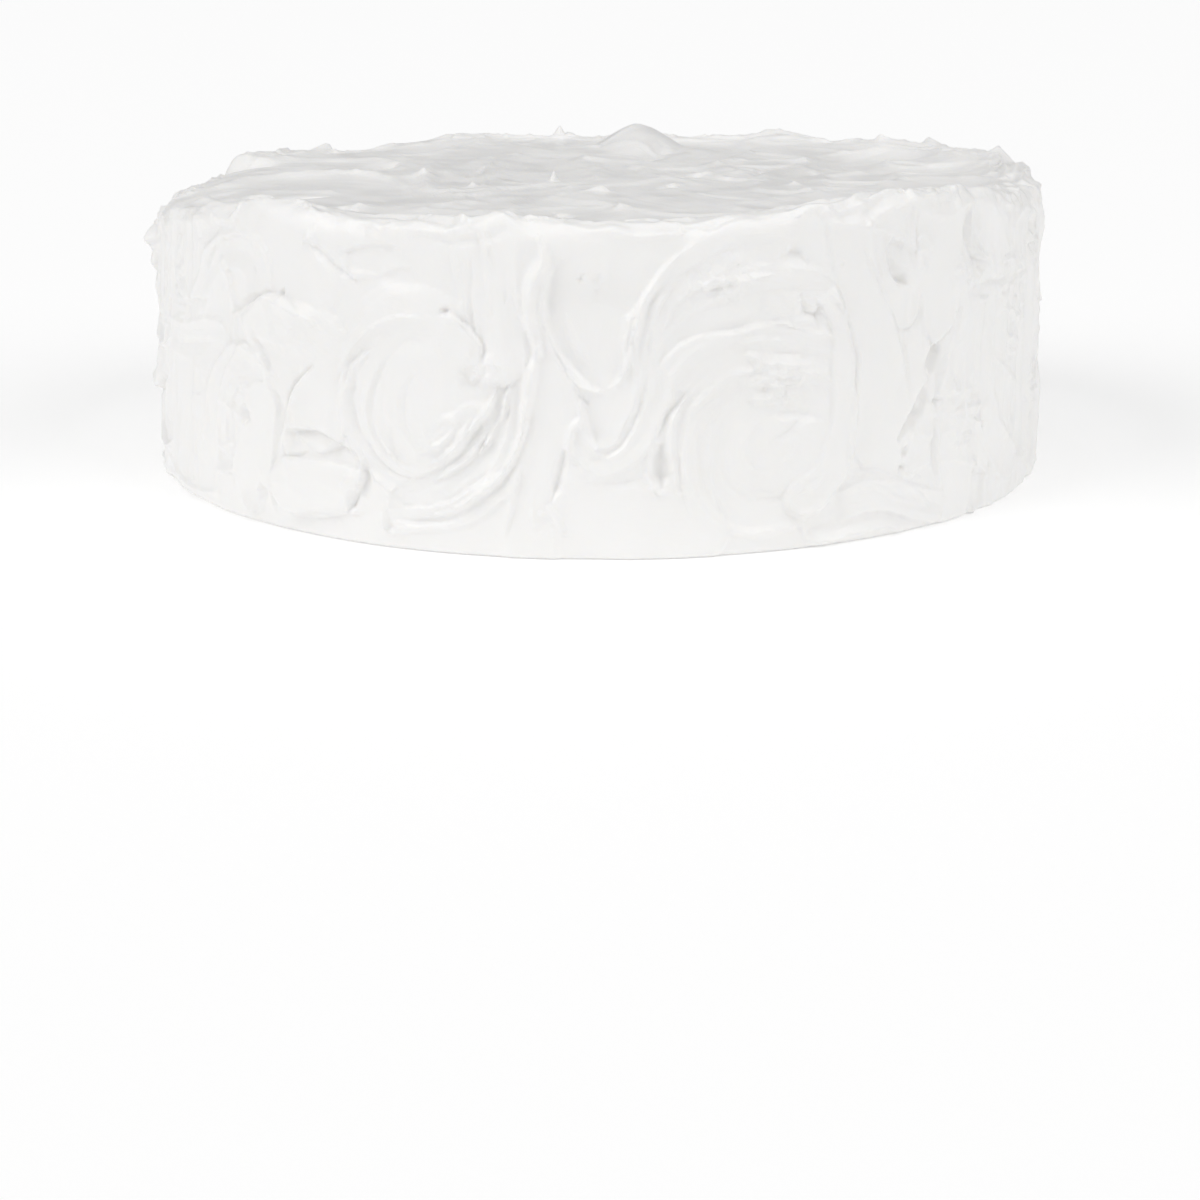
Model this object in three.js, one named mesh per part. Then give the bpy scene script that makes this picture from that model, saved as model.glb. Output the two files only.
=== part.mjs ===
// A round layer cake covered in white buttercream. The icing was spread with a palette knife, so its side and top are
// overlapping strokes: curls, tongues and sweeps with raised edges, cracks between them, and an uneven rim.
// Millimetres, +Z up. The origin is the middle of the flat base, and -Y is the side that faces a viewer.
import * as THREE from "three";

// Driving dimensions.
const BASE_RADIUS = 137.5;
const TOP_RADIUS = 134;
const CAKE_HEIGHT = 86.5;
const RIM_ROUNDING = 5;
const FOOT_ROUNDING = 1.5;

// Resolution of the faceted solid.
const COLUMNS = 168;
const SIDE_RINGS = 19;
const RING_STEP = 5.1;
const HALVING_RADII = [96, 44, 20];
const SAMPLES_ACROSS_CELL = 3;
const RIDGE_SHARE = 1;
const PIT_SHARE = 0.5;
const LOWEST_CORNER = 0.4;

// How the knife works the icing.
const RIDGE_WIDTH = 1.6;
const EDGE_SOFTNESS = 1.6;
const LANDING = 0.9;
const NICK_SPACING = 3.4;
const NICK_STRETCH = 14;
const LIP_SOFTNESS = 1.2;
const LIP_SHADOW = 2.4;
const LIP_SHADOW_SHARE = 0.4;
const NARROWEST_CREASE = 2.2;
const SWELL = 1.6;
const SWELL_SPACING = 46;
const WARP = 1.5;
const WARP_SPACING = 17;
const LINE_STEPS = 14;
const SIDE_STROKES = 110;
const TOP_STROKES = 34;

// Both charts of the surface are flat maps in millimetres. The side's runs round the cake (0 at the front) and up,
// past the rim on to the top. The top's is seen from above, and runs past the rim down the side.
const RIM_ARC = (RIM_ROUNDING * Math.PI) / 2;
const RIM_AT = CAKE_HEIGHT;
const CENTRE_AT = CAKE_HEIGHT + RIM_ARC / 2 + TOP_RADIUS - RIM_ROUNDING;
const ROUND = 2 * Math.PI * TOP_RADIUS;
const SIDE_REACH = CAKE_HEIGHT + 16;
const TOP_REACH = CAKE_HEIGHT - 5;

// A repeatable draw from 0 to 1 for the k-th thing, and noise from 0 to 1 that is smooth between whole numbers.
function draw(k, salt) {
  const value = Math.sin(k * 12.9898 + salt * 78.233) * 43758.5453;
  return value - Math.floor(value);
}

function ease(t) {
  const u = Math.min(1, Math.max(0, t));
  return u * u * (3 - 2 * u);
}

function noise(x, y, salt) {
  const i = Math.floor(x);
  const j = Math.floor(y);
  const u = ease(x - i);
  const v = ease(y - j);
  const corner = (p, q) => draw(p + 57.31 * q, salt);
  const low = corner(i, j) * (1 - u) + corner(i + 1, j) * u;
  const high = corner(i, j + 1) * (1 - u) + corner(i + 1, j + 1) * u;
  return low * (1 - v) + high * v;
}

// A bell curve of a distance, 1 in its middle.
const bell = (distance, width) => Math.exp(-((distance / width) ** 2));

const count = (n, make) => Array.from({ length: n }, (_, k) => make(k));

// An arc as a line of points: centre, radius, the angle it starts at and how far it sweeps, in degrees.
function arc(x, y, radius, start, sweep) {
  const steps = Math.max(3, Math.ceil(Math.abs(sweep) / 40));
  return count(steps + 1, (i) => {
    const angle = THREE.MathUtils.degToRad(start + (sweep * i) / steps);
    return [x + radius * Math.cos(angle), y + radius * Math.sin(angle)];
  });
}

// The nearest way round the cake from one place to another, as a signed distance.
function roundTo(x, from) {
  return x - from - ROUND * Math.round((x - from) / ROUND);
}

// The line that a blade, an edge or a crack follows, as a smooth curve through its points.
class Track {
  constructor(line) {
    this.points = new THREE.SplineCurve(line.map(([x, y]) => new THREE.Vector2(x, y))).getPoints(LINE_STEPS);
    this.length = this.points.reduce((sum, p, i, all) => (i ? sum + p.distanceTo(all[i - 1]) : 0), 0);
    this.box = new THREE.Box2().setFromPoints(this.points);
  }

  // How far a point is from the line, how far along the line, and how far to the line's left.
  nearest(x, y) {
    let best = { distance: Infinity, along: 0, left: 0 };
    let gone = 0;
    for (let i = 1; i < this.points.length; i += 1) {
      const from = this.points[i - 1];
      const dx = this.points[i].x - from.x;
      const dy = this.points[i].y - from.y;
      const span = Math.hypot(dx, dy);
      const share = THREE.MathUtils.clamp(((x - from.x) * dx + (y - from.y) * dy) / (span * span), 0, 1);
      const distance = Math.hypot(x - from.x - share * dx, y - from.y - share * dy);
      if (distance < best.distance) {
        const left = (dx * (y - from.y) - dy * (x - from.x)) / span;
        best = { distance, along: gone + share * span, left };
      }
      gone += span;
    }
    return best;
  }

  // 1 along the line, fading to 0 at both of its ends.
  taper(along, sharpness) {
    return ease((sharpness * Math.min(along, this.length - along)) / this.length);
  }
}

// Something that is laid on a chart along a line and changes the icing's height up to a margin from it.
class Layer {
  constructor(line, margin) {
    this.line = line;
    this.margin = margin;
    this.track = new Track(line);
  }

  // The height at a place that may be once round the cake from the line.
  spreadRound(height, x, y, salt) {
    const { min, max } = this.track.box;
    const middle = (min.x + max.x) / 2;
    return this.spread(height, middle + roundTo(x, middle), y, salt);
  }

  spread(height, x, y, salt) {
    const { min, max } = this.track.box;
    const m = this.margin;
    if (x < min.x - m || x > max.x + m || y < min.y - m || y > max.y + m) return height;
    return this.change(height, this.track.nearest(x, y), salt);
  }
}

// One knife stroke: its width at both ends, how proud the icing stands, how deep it is hollowed (below 0 it is domed),
// the height of its left and right ridges, how strongly the blade's nicks mark it, and the share of the old icing that
// stays under it. Where the blade lands, the stroke fades in.
class Stroke extends Layer {
  constructor(line, width, lift, depth, ridge, comb, kept = 0.25) {
    super(line, Math.max(...width) / 2 + 3 * RIDGE_WIDTH);
    Object.assign(this, { width, lift, depth, ridge, comb, kept });
  }

  change(height, { distance, along, left }, salt) {
    const half = THREE.MathUtils.lerp(this.width[0], this.width[1], along / this.track.length) / 2;
    const across = THREE.MathUtils.clamp(left / half, -1, 1);
    const trough = this.lift - this.depth * (1 - Math.min(1, distance / half) ** 2);
    const nicks = noise(left / NICK_SPACING, along / (NICK_SPACING * NICK_STRETCH), salt) - 0.5;
    const landed = ease(along / (LANDING * half));
    const inside = landed * ease((half - distance) / EDGE_SOFTNESS + 0.5);
    const wiped = this.kept * height + trough + this.comb * nicks;
    const edge = THREE.MathUtils.lerp(this.ridge[1], this.ridge[0], (across + 1) / 2);
    return height * (1 - inside) + wiped * inside + edge * landed * bell(distance - half, RIDGE_WIDTH);
  }

  moved(move, mirrored) {
    const ridge = mirrored ? [...this.ridge].reverse() : this.ridge;
    return new Stroke(this.line.map(move), this.width, this.lift, this.depth, ridge, this.comb, this.kept);
  }
}

// An edge where one layer of icing ends on another: the left of the line stands over the right.
class Lip extends Layer {
  constructor(line, height, falloff) {
    super(line, 3 * falloff);
    Object.assign(this, { height, falloff });
  }

  change(height, { distance, along, left }) {
    const aside = Math.sign(left) * distance;
    const side = ease(aside / LIP_SOFTNESS / 2 + 0.5);
    const over = side * bell(Math.max(aside, 0), this.falloff);
    const under = (1 - side) * LIP_SHADOW_SHARE * bell(Math.min(aside, 0), LIP_SHADOW);
    return height + this.height * this.track.taper(along, 4) * (over - under);
  }

  moved(move, mirrored) {
    const line = this.line.map(move);
    return new Lip(mirrored ? line.reverse() : line, this.height, this.falloff);
  }
}

// A ridge, or, with a height below 0, a pocket or crack that the knife left open.
class Crease extends Layer {
  constructor(line, height, width) {
    const broad = Math.max(width, NARROWEST_CREASE);
    super(line, 3 * broad);
    Object.assign(this, { height, broad });
  }

  change(height, { distance, along }) {
    const taper = 0.35 + 0.65 * this.track.taper(along, 3);
    return height + this.height * taper * bell(distance, this.broad * taper);
  }

  moved(move) {
    return new Crease(this.line.map(move), this.height, this.broad);
  }
}

// What shows on the front, in the side's chart: broad strokes first, the later ones over the earlier.
const FRONT_LAYERS = [
  new Stroke([[-128, 0], [-128, 92]], [52, 52], 0.5, 0.1, [0, 0], 0.4, 0.3),
  new Stroke([[-84, 0], [-84, 92]], [56, 56], 0.8, 0.1, [0, 0], 0.25, 0.15),
  new Stroke([[-36, 0], [-36, 92]], [56, 56], 0.6, 0.1, [0, 0], 0.25, 0.15),
  new Stroke([[12, 0], [12, 92]], [56, 56], 0.5, 0.1, [0, 0], 0.2, 0.15),
  new Stroke([[60, 0], [60, 92]], [56, 56], 0.6, 0.1, [0, 0], 0.25, 0.15),
  new Stroke([[106, 0], [106, 92]], [54, 54], 0.6, 0.1, [0, 0], 0.3, 0.2),
  new Stroke([[-150, 4], [-149, 50], [-147, 88]], [24, 20], 0.4, 0.5, [0.3, 0.3], 0.6),
  new Stroke([[-164, 46], [-145, 46], [-122, 50]], [10, 12], 0.4, 0.4, [0.5, 0.2], 0.5),
  new Stroke([[-94, 90], [-90, 78], [-82, 70]], [28, 22], 1.2, -0.3, [0.2, 0.3], 0.15),
  new Stroke([[-134, 58], [-126, 71], [-113, 76], [-102, 74], [-101, 67]], [8, 11], 0.3, 1.0, [0.8, 0.2], 0.3),
  new Stroke([[-110, 55], [-98, 58], [-86, 57], [-76, 53]], [10, 16], 1.9, -0.7, [0.4, 0.2], 0.5),
  new Stroke([[-124, 16], [-122, 32], [-113, 43], [-103, 43]], [12, 12], 0.7, 0.8, [0.9, 0.2], 0.5),
  new Stroke([[-106, 4], [-104, 18], [-101, 34]], [20, 14], 0.8, 0.3, [0.2, 0.5], 0.25),
  new Stroke([[-76, 54], [-77, 42], [-78, 34]], [14, 20], 1.3, -0.2, [0.2, 0.2], 0.15),
  new Stroke([[-62, 15], [-74, 16], [-88, 14]], [12, 16], 1.3, -0.8, [0.2, 0.2], 0.2),
  new Stroke([[-66, 42], [-63, 56], [-52, 62], [-42, 58]], [10, 20], 1.4, -0.5, [0.5, 0.2], 0.2),
  new Stroke(arc(-46, 40, 17, 75, 255), [14, 20], 0.9, 0.9, [0.3, 0.5], 1, 0.4),
  new Stroke([[-52, 62], [-47, 48], [-43, 32]], [24, 24], 1.0, -0.3, [0, 0], 0.12, 0.35),
  new Stroke([[-22, 50], [-25, 36], [-34, 22], [-50, 13]], [12, 12], 0.3, 0.9, [0.9, 0.1], 0.9, 0.3),
  new Stroke([[-18, 48], [-22, 28], [-34, 13], [-56, 8]], [8, 7], 0.9, 0.5, [0.7, 0.3], 0.6, 0.3),
  new Stroke([[-29, 87], [-28, 72], [-26, 54]], [16, 16], 0.7, 0.1, [0.1, 0.2], 0.8, 0.3),
  new Stroke([[-70, 77], [-60, 77], [-50, 75]], [7, 8], 0.5, 0.3, [0.4, 0.5], 0.2),
  new Stroke([[14, 56], [10, 38], [3, 29], [-4, 32]], [14, 10], 0.5, 0.4, [0.6, 0.5], 0.4, 0.4),
  new Stroke([[-2, 8], [10, 9], [24, 8]], [22, 20], 0.7, 0, [0.1, 0.1], 0.15, 0.1),
  new Stroke([[3, 56], [2, 44], [0, 35]], [18, 10], 0, 0.8, [0.4, 0.4], 0.15),
  new Stroke([[2, 78], [-2, 68], [-2, 60], [-1, 53]], [30, 15], -0.6, 0.9, [0.5, 0.7], 0.06, 0.1),
  new Stroke([[-14, 52], [-13, 36], [-16, 20], [-18, 3]], [9, 14], 1.0, 0.3, [0.2, 0.5], 0.3, 0.3),
  new Stroke([[12, 42], [12, 60], [20, 74], [38, 80], [58, 78]], [5, 16], 0.9, 0.4, [0.5, 0.2], 1, 0.4),
  new Stroke([[16, 48], [22, 58], [38, 66], [56, 66]], [8, 18], 0.6, 0.4, [0.3, 0.1], 1, 0.4),
  new Stroke([[18, 44], [28, 53], [44, 55], [62, 50]], [8, 16], 0.6, 0.5, [0.5, 0.1], 1, 0.4),
  new Stroke(arc(44, 29, 15, 100, 300), [16, 18], 0.6, 0.6, [0.2, 0.6], 0.8, 0.3),
  new Stroke([[34, 24], [44, 28], [54, 30]], [22, 22], 0.9, -0.3, [0, 0], 0.12, 0.35),
  new Stroke([[60, 70], [66, 58], [66, 40], [63, 22], [54, 14]], [6, 10], 1.2, -0.3, [1.0, 0.2], 0.25, 0.3),
  new Stroke([[66, 88], [72, 70], [77, 50], [78, 28]], [12, 18], 0.9, -0.1, [0.2, 0.1], 0.12, 0.2),
  new Stroke([[90, 50], [86, 38], [82, 24]], [12, 14], 0.7, 0.1, [0.2, 0.2], 0.2, 0.3),
  new Stroke([[102, 90], [101, 72], [104, 60]], [22, 20], 1.0, 0, [0.1, 0.2], 0.15, 0.2),
  new Stroke([[116, 66], [112, 48], [108, 30], [108, 8]], [16, 18], 0.7, 0.1, [0.1, 0.2], 0.5, 0.3),
  new Stroke([[64, 10], [80, 12], [98, 6]], [9, 10], 0.8, 0.2, [0.4, 0.2], 0.8, 0.3),
  new Stroke([[139, 90], [141, 60], [141, 30], [143, 4]], [30, 28], 0.5, 0.1, [0.3, 0.3], 0.7, 0.3),
  new Stroke([[131, 56], [136, 44], [154, 38]], [8, 12], 0.3, 0.9, [0.3, 0.7], 0.4),
  new Lip([[-79, 58], [-88, 64], [-98, 65], [-112, 59]], 1.8, 5),
  new Lip([[-80, 49], [-87, 41], [-91, 28], [-90, 22]], 1.6, 5),
  new Lip([[-64, 24.5], [-70, 27], [-79, 30.5], [-89, 30]], -2.0, 4),
  new Lip([[-64, 25], [-64.5, 18], [-68, 12], [-69.5, 8]], -1.6, 3),
  new Lip([[-42, 67], [-35, 62], [-31, 56], [-32, 50]], -1.2, 2.5),
  new Lip([[-6, 81], [-12, 77], [-14, 68], [-12, 58], [-5, 48], [0, 45], [5, 49], [8, 58]], -1.2, 3),
  new Lip([[31, 45], [24, 38], [21, 28], [21, 18], [26, 6]], 1.3, 3),
  new Lip([[60, 69], [66, 64], [69.5, 54], [69.5, 42], [67, 33]], 1.3, 3.5),
  new Lip([[92, 76], [82, 79], [81, 75], [84, 71], [90, 69]], -1.4, 3),
  new Lip([[126, 73.5], [121, 76], [116, 80.5]], 1.8, 4),
  new Crease([[-113, 59], [-107, 61], [-100, 64.5]], -2.4, 1.8),
  new Crease([[-80, 49], [-87, 41], [-91, 28], [-90, 22]], -1.4, 0.9),
  new Crease([[-88, 29], [-77, 29], [-66, 23.5]], -1.5, 1.5),
  new Crease([[-66, 17], [-68, 12], [-69.5, 9]], -1.4, 1.1),
  new Crease([[-108, 34], [-108.5, 28]], -1.8, 1.6),
  new Crease([[-35.5, 49], [-33, 46], [-30.5, 48]], -2.2, 1.7),
  new Crease([[-22.5, 47], [-25, 39], [-31, 28]], 2.2, 0.9),
  new Crease([[-30.5, 37], [-34, 31]], -2.4, 1.5),
  new Crease([[-18, 54], [-18.5, 44], [-20, 33], [-25, 23], [-35, 14], [-50, 9]], 2.0, 1.0),
  new Crease([[-16, 84], [-15, 79], [-17.5, 72], [-17, 64], [-14.5, 54]], 3.0, 1.3),
  new Crease([[-9, 29], [-10.5, 23], [-13, 16]], -1.6, 1.3),
  new Crease([[15.5, 30], [15.3, 24], [15.6, 18.5]], -6.0, 2.1),
  new Crease([[22, 44], [18.5, 37], [18, 30], [19, 22], [20, 16]], 1.1, 0.9),
  new Crease([[47, 78.5], [52, 78], [55, 76.5]], -1.5, 1.3),
  new Crease([[56, 86], [66, 88], [84, 93]], 1.2, 1.2),
  new Crease([[81, 76], [84, 71.5], [88, 69.5]], -1.6, 1.7),
  new Crease([[99, 52], [97, 49], [95.5, 43.5]], -2.6, 1.5),
  new Crease([[95, 40], [91, 34], [85.5, 28]], -2.0, 1.2),
  new Crease([[116, 80], [119, 76.5], [126, 73.5]], -1.8, 1.8),
];

// Flakes of icing on the side that stand out at the left and right of the view.
const FLAKES = [
  new Crease([[-194, 82], [-190, 58]], 6.2, 4.2),
  new Crease([[-190, 50], [-186, 42]], 1.2, 3),
  new Crease([[183, 84], [184, 68]], 1.6, 4),
  new Crease([[183, 54], [185, 48]], 0.8, 3.5),
];

// What shows on the top, in the top's chart, over its random strokes.
const TOP_LAYERS = [
  new Stroke([[-90, 66], [-72, 82], [-60, 108]], [34, 30], 0.3, 0.9, [1.2, 1.0], 0.4, 0.2),
  new Stroke([[-118, 26], [-98, 40], [-76, 34], [-60, 6]], [26, 26], 0, 1.1, [1.6, 0.4], 0.4, 0.2),
  new Stroke([[-104, -44], [-94, -22], [-78, -14], [-64, -32], [-58, -64]], [32, 36], -0.5, 1.0, [1.2, 0.3], 0.3, 0.15),
  new Stroke([[-60, -100], [-36, -112], [-8, -100]], [26, 30], -0.2, 1.0, [0.8, 0.8], 0.4, 0.2),
  new Stroke([[-46, 44], [-44, 8], [-40, -34]], [20, 24], 0.4, 0.8, [0.6, 1.4], 0.6, 0.2),
  new Stroke([[-14, 74], [-20, 34], [-16, -10]], [24, 28], -0.2, 1.2, [1.2, 0.8], 0.5, 0.2),
  new Stroke([[6, -30], [12, -64], [28, -92]], [28, 36], 0.7, 0.6, [0.9, 0.9], 0.25, 0.15),
  new Stroke([[46, 84], [34, 52], [22, 26]], [20, 22], 0.6, 0.9, [1.4, 0.6], 0.5, 0.2),
  new Stroke([[118, 56], [92, 62], [80, 40], [90, 18], [112, 16]], [24, 26], -0.9, 1.0, [0.4, 1.3], 0.35, 0.2),
  new Stroke([[54, 26], [60, -4], [56, -40]], [18, 22], 0.5, 0.8, [1.2, 0.5], 0.6, 0.2),
  new Stroke([[98, -50], [74, -60], [50, -88]], [22, 26], 0.5, 0.8, [1.0, 1.2], 0.5, 0.2),
  new Lip([[-116, -34], [-100, -8], [-80, 4], [-66, -8], [-59, -30], [-53, -56]], 2.6, 12),
  new Lip([[-84, 18], [-72, 40], [-58, 66]], 1.6, 9),
  new Lip([[116, 74], [88, 70], [78, 44], [84, 16], [108, 6]], -1.6, 8),
  new Crease([[-112, -26], [-96, -3], [-80, 5], [-66, -7], [-59, -28], [-54, -48]], 1.6, 1.6),
  new Crease([[-92, -68], [-84, -62], [-78, -60]], -2.4, 1.8),
  new Crease([[-70, -100], [-67, -90]], -3.0, 2.2),
  new Crease([[16, 40], [18, 58], [22, 82]], -2.2, 4.0),
  new Crease([[20, 36], [32, 70], [44, 90]], 1.6, 2.4),
  new Crease([[16, -46], [24, -32]], -2.0, 1.8),
];

// The round mound near the back of the top, with the share of the relief that it covers and how far round it that
// share reaches, in radii, and the points that the knife pulled up as it left the icing.
const MOUND = { x: 14, y: 108, height: 7.4, radius: 12.5, covers: 0.85, reach: 1.25, softness: 0.33 };
const PEAKS = [
  { x: -38, y: -34, height: 3.6 },
  { x: -14, y: -14, height: 4.8 },
  { x: 1, y: -52, height: 3.0 },
  { x: 5, y: -92, height: 3.2 },
  { x: 31, y: 2, height: 3.0 },
  { x: -66, y: -88, height: 3.0 },
  { x: 58, y: -30, height: 2.8 },
];
const PEAK_RADIUS = 4.5;
const PEAK_SHARPNESS = 1.6;

// How high the rim stands over the plain cake: angles round the cake, 0 at the front, and millimetres. The wave fades
// out down the side and in across the top.
const RIM_WAVE = [
  [-180, 0.2], [-168, 0.9], [-156, 2.2], [-147, 0.4], [-138, -2.6], [-131, -1.4], [-120, 0.8], [-113, 1.2],
  [-109.5, -4.6], [-95, -5.2], [-78, -4.4], [-64, -3.2], [-54, -0.6], [-46, 1.2], [-40, 2.2], [-34, 0.2],
  [-27, 0.3], [-18, 0.6], [-12, 2.0], [-7, 0.8], [2, 0.2], [9, 0.3], [17, 2.0], [26, 3.8], [36, 5.2],
  [45, 5.4], [54, 3.6], [64, 1.0], [76, 0.2], [88, 2.0], [106, 3.2], [130, 3.2], [141, 1.4], [150, 3.4],
  [158, 0.8], [168, 0], [180, 0.2],
];
const WAVE_DOWN = 14;
const WAVE_IN = 24;

// Points of the rim, by their place round the cake. reach is how far each slopes away to its left and right.
const RIM_TIPS = [
  { at: -406, height: 5.6, reach: [3, 4] },
  { at: -409, height: 3.0, reach: [5, 6] },
  { at: -362, height: 1.4, reach: [8, 9] },
  { at: -313, height: 4.6, reach: [2.5, 15] },
  { at: -102, height: 1.6, reach: [10, 7] },
  { at: -83, height: 1.6, reach: [5, 9] },
  { at: -25, height: 2.4, reach: [9, 5] },
  { at: 3, height: 1.4, reach: [5, 7] },
  { at: 56, height: 1.4, reach: [8, 8] },
  { at: 90, height: 1.8, reach: [12, 6] },
  { at: 124, height: 1.6, reach: [7, 9] },
  { at: 242, height: 3.6, reach: [15, 2] },
  { at: 256, height: 1.4, reach: [5, 6] },
  { at: 285, height: 3.6, reach: [14, 2] },
  { at: 356, height: 2.0, reach: [9, 8] },
];
const TIP_SPAN = 5;
const RAGGED_HEIGHT = 1.6;
const RAGGED_SPACING = 6.5;

// The strokes under the named ones, spread evenly round the whole side: curls, long sweeps and upright pulls.
function sideStroke(k) {
  const x = (draw(k, 1) - 0.5) * ROUND;
  const y = 8 + draw(k, 2) * (CAKE_HEIGHT - 14);
  const radius = 9 + 7 * draw(k, 3);
  const turn = draw(k, 5) < 0.5 ? -1 : 1;
  const lean = 26 * (draw(k, 6) - 0.5);
  const lines = [
    () => arc(x, y, radius, 360 * draw(k, 4), turn * (190 + 110 * draw(k, 7))),
    () => arc(x, y - 4 * radius, 4.2 * radius, 62, 26 + 34 * draw(k, 7)),
    () => [[x, 84], [x + lean / 2, 60], [x + lean, 30 + 20 * draw(k, 7)]],
  ];
  return new Stroke(
    lines[k % 3](),
    [12 + 10 * draw(k, 8), 9 + 12 * draw(k, 9)],
    1.6 * draw(k, 10) - 0.2,
    0.2 + 1.7 * draw(k, 11),
    [0.4 + 1.2 * draw(k, 12), 0.4 + 1.2 * draw(k, 13)],
    0.2 + 0.8 * draw(k, 14),
  );
}

// The strokes under the named ones on the top: wide curved sweeps in every direction.
function topStroke(k) {
  const out = TOP_RADIUS * Math.sqrt(draw(k, 21));
  const angle = 2 * Math.PI * draw(k, 22);
  const radius = 26 + 30 * draw(k, 23);
  const turn = draw(k, 24) < 0.5 ? -1 : 1;
  return new Stroke(
    arc(out * Math.cos(angle), out * Math.sin(angle), radius, 360 * draw(k, 25), turn * (70 + 90 * draw(k, 26))),
    [20 + 16 * draw(k, 27), 16 + 20 * draw(k, 28)],
    1.6 * draw(k, 29) - 0.5,
    0.3 + 1.4 * draw(k, 30),
    [0.6 + 1.8 * draw(k, 31), 0.6 + 1.8 * draw(k, 32)],
    0.4 + 0.8 * draw(k, 33),
  );
}

// The front's layers cover a third of the way round. The other two thirds take the same layers moved there, one lot
// mirrored and one turned upside down.
const THIRD = ROUND / 3;
const sideLayers = [
  ...count(SIDE_STROKES, sideStroke),
  ...FRONT_LAYERS.map((layer) => layer.moved(([x, y]) => [THIRD - x, y], true)),
  ...FRONT_LAYERS.map((layer) => layer.moved(([x, y]) => [-THIRD - x, CAKE_HEIGHT + 4 - y], false)),
  ...FRONT_LAYERS,
  ...FLAKES,
];
const topLayers = [...count(TOP_STROKES, topStroke), ...TOP_LAYERS];

// A place on a chart, moved by a smooth noise of a millimetre or two, so that no edge is quite smooth.
function bend(x, y) {
  const wobble = (salt) =>
    noise(x / WARP_SPACING, y / WARP_SPACING, salt) +
    0.4 * noise((3 * x) / WARP_SPACING, (3 * y) / WARP_SPACING, salt + 1) - 0.7;
  return [x + WARP * wobble(51), y + WARP * wobble(53)];
}

// How far the icing stands out of the plain cake at a place on the side's chart, which is also (x, y) on the top's.
function reliefAt(around, up, x, y) {
  let height = SWELL * (noise(around / SWELL_SPACING + 40, up / SWELL_SPACING, 7) - 0.5);
  if (up > TOP_REACH) {
    const place = bend(x, y);
    height = topLayers.reduce((h, layer, i) => layer.spread(h, ...place, i), height);
  }
  if (up < SIDE_REACH) {
    const before = height;
    const place = bend(around, up);
    height = sideLayers.reduce((h, layer, i) => layer.spreadRound(h, ...place, i), height);
    height = THREE.MathUtils.lerp(height, before, ease((up - RIM_AT - 4) / 12));
  }
  if (up > TOP_REACH) {
    for (const peak of PEAKS) {
      const far = Math.hypot(x - peak.x, y - peak.y) / PEAK_RADIUS;
      height += peak.height * Math.max(0, 1 - far) ** PEAK_SHARPNESS;
    }
    const far = Math.hypot(x - MOUND.x, y - MOUND.y) / MOUND.radius;
    height *= 1 - MOUND.covers * ease((MOUND.reach - far) / MOUND.softness);
    height += MOUND.height * Math.sqrt(Math.max(0, 1 - far * far));
  }
  return height;
}

// How high the rim's wave is at a place on the side's chart.
function waveAt(around, up) {
  const angle = THREE.MathUtils.clamp(THREE.MathUtils.radToDeg(roundTo(around, 0) / TOP_RADIUS), -180, 180);
  const k = Math.max(1, RIM_WAVE.findIndex(([place]) => place >= angle));
  const [[from, low], [to, high]] = [RIM_WAVE[k - 1], RIM_WAVE[k]];
  const past = up - RIM_AT;
  const share = ease(past < 0 ? 1 + past / WAVE_DOWN : 1 - past / WAVE_IN);
  return share * THREE.MathUtils.lerp(low, high, ease((angle - from) / (to - from)));
}

// How far the rim's points and its ragged edge stand up at a place on the side's chart.
function tipsAt(around, up) {
  const share = ease(1 - Math.abs(up - RIM_AT) / TIP_SPAN);
  if (share === 0) return 0;
  const ragged = Math.max(0, noise(around / RAGGED_SPACING + 90, 0, 8) - 0.5) * RAGGED_HEIGHT;
  const tips = RIM_TIPS.map(({ at, height, reach }) => {
    const beyond = roundTo(around, at);
    return height * Math.max(0, 1 - Math.abs(beyond) / reach[beyond < 0 ? 0 : 1]);
  });
  return share * Math.max(ragged, ...tips);
}

// The plain cake's outline: radius, height and outward normal at a distance up the side's chart.
function outlineAt(up) {
  const sideEnd = RIM_AT - RIM_ARC / 2;
  const topStart = RIM_AT + RIM_ARC / 2;
  if (up <= sideEnd) {
    const share = up / sideEnd;
    const foot = FOOT_ROUNDING * Math.max(0, 1 - up / FOOT_ROUNDING) ** 2;
    const radius = THREE.MathUtils.lerp(BASE_RADIUS, TOP_RADIUS, share) - foot;
    return { radius, z: share * (CAKE_HEIGHT - RIM_ROUNDING), out: 1, rise: 0 };
  }
  if (up >= topStart) return { radius: CENTRE_AT - up, z: CAKE_HEIGHT, out: 0, rise: 1 };
  const angle = (up - sideEnd) / RIM_ROUNDING;
  return {
    radius: TOP_RADIUS - RIM_ROUNDING * (1 - Math.cos(angle)),
    z: CAKE_HEIGHT - RIM_ROUNDING * (1 - Math.sin(angle)),
    out: Math.cos(angle),
    rise: Math.sin(angle),
  };
}

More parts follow.
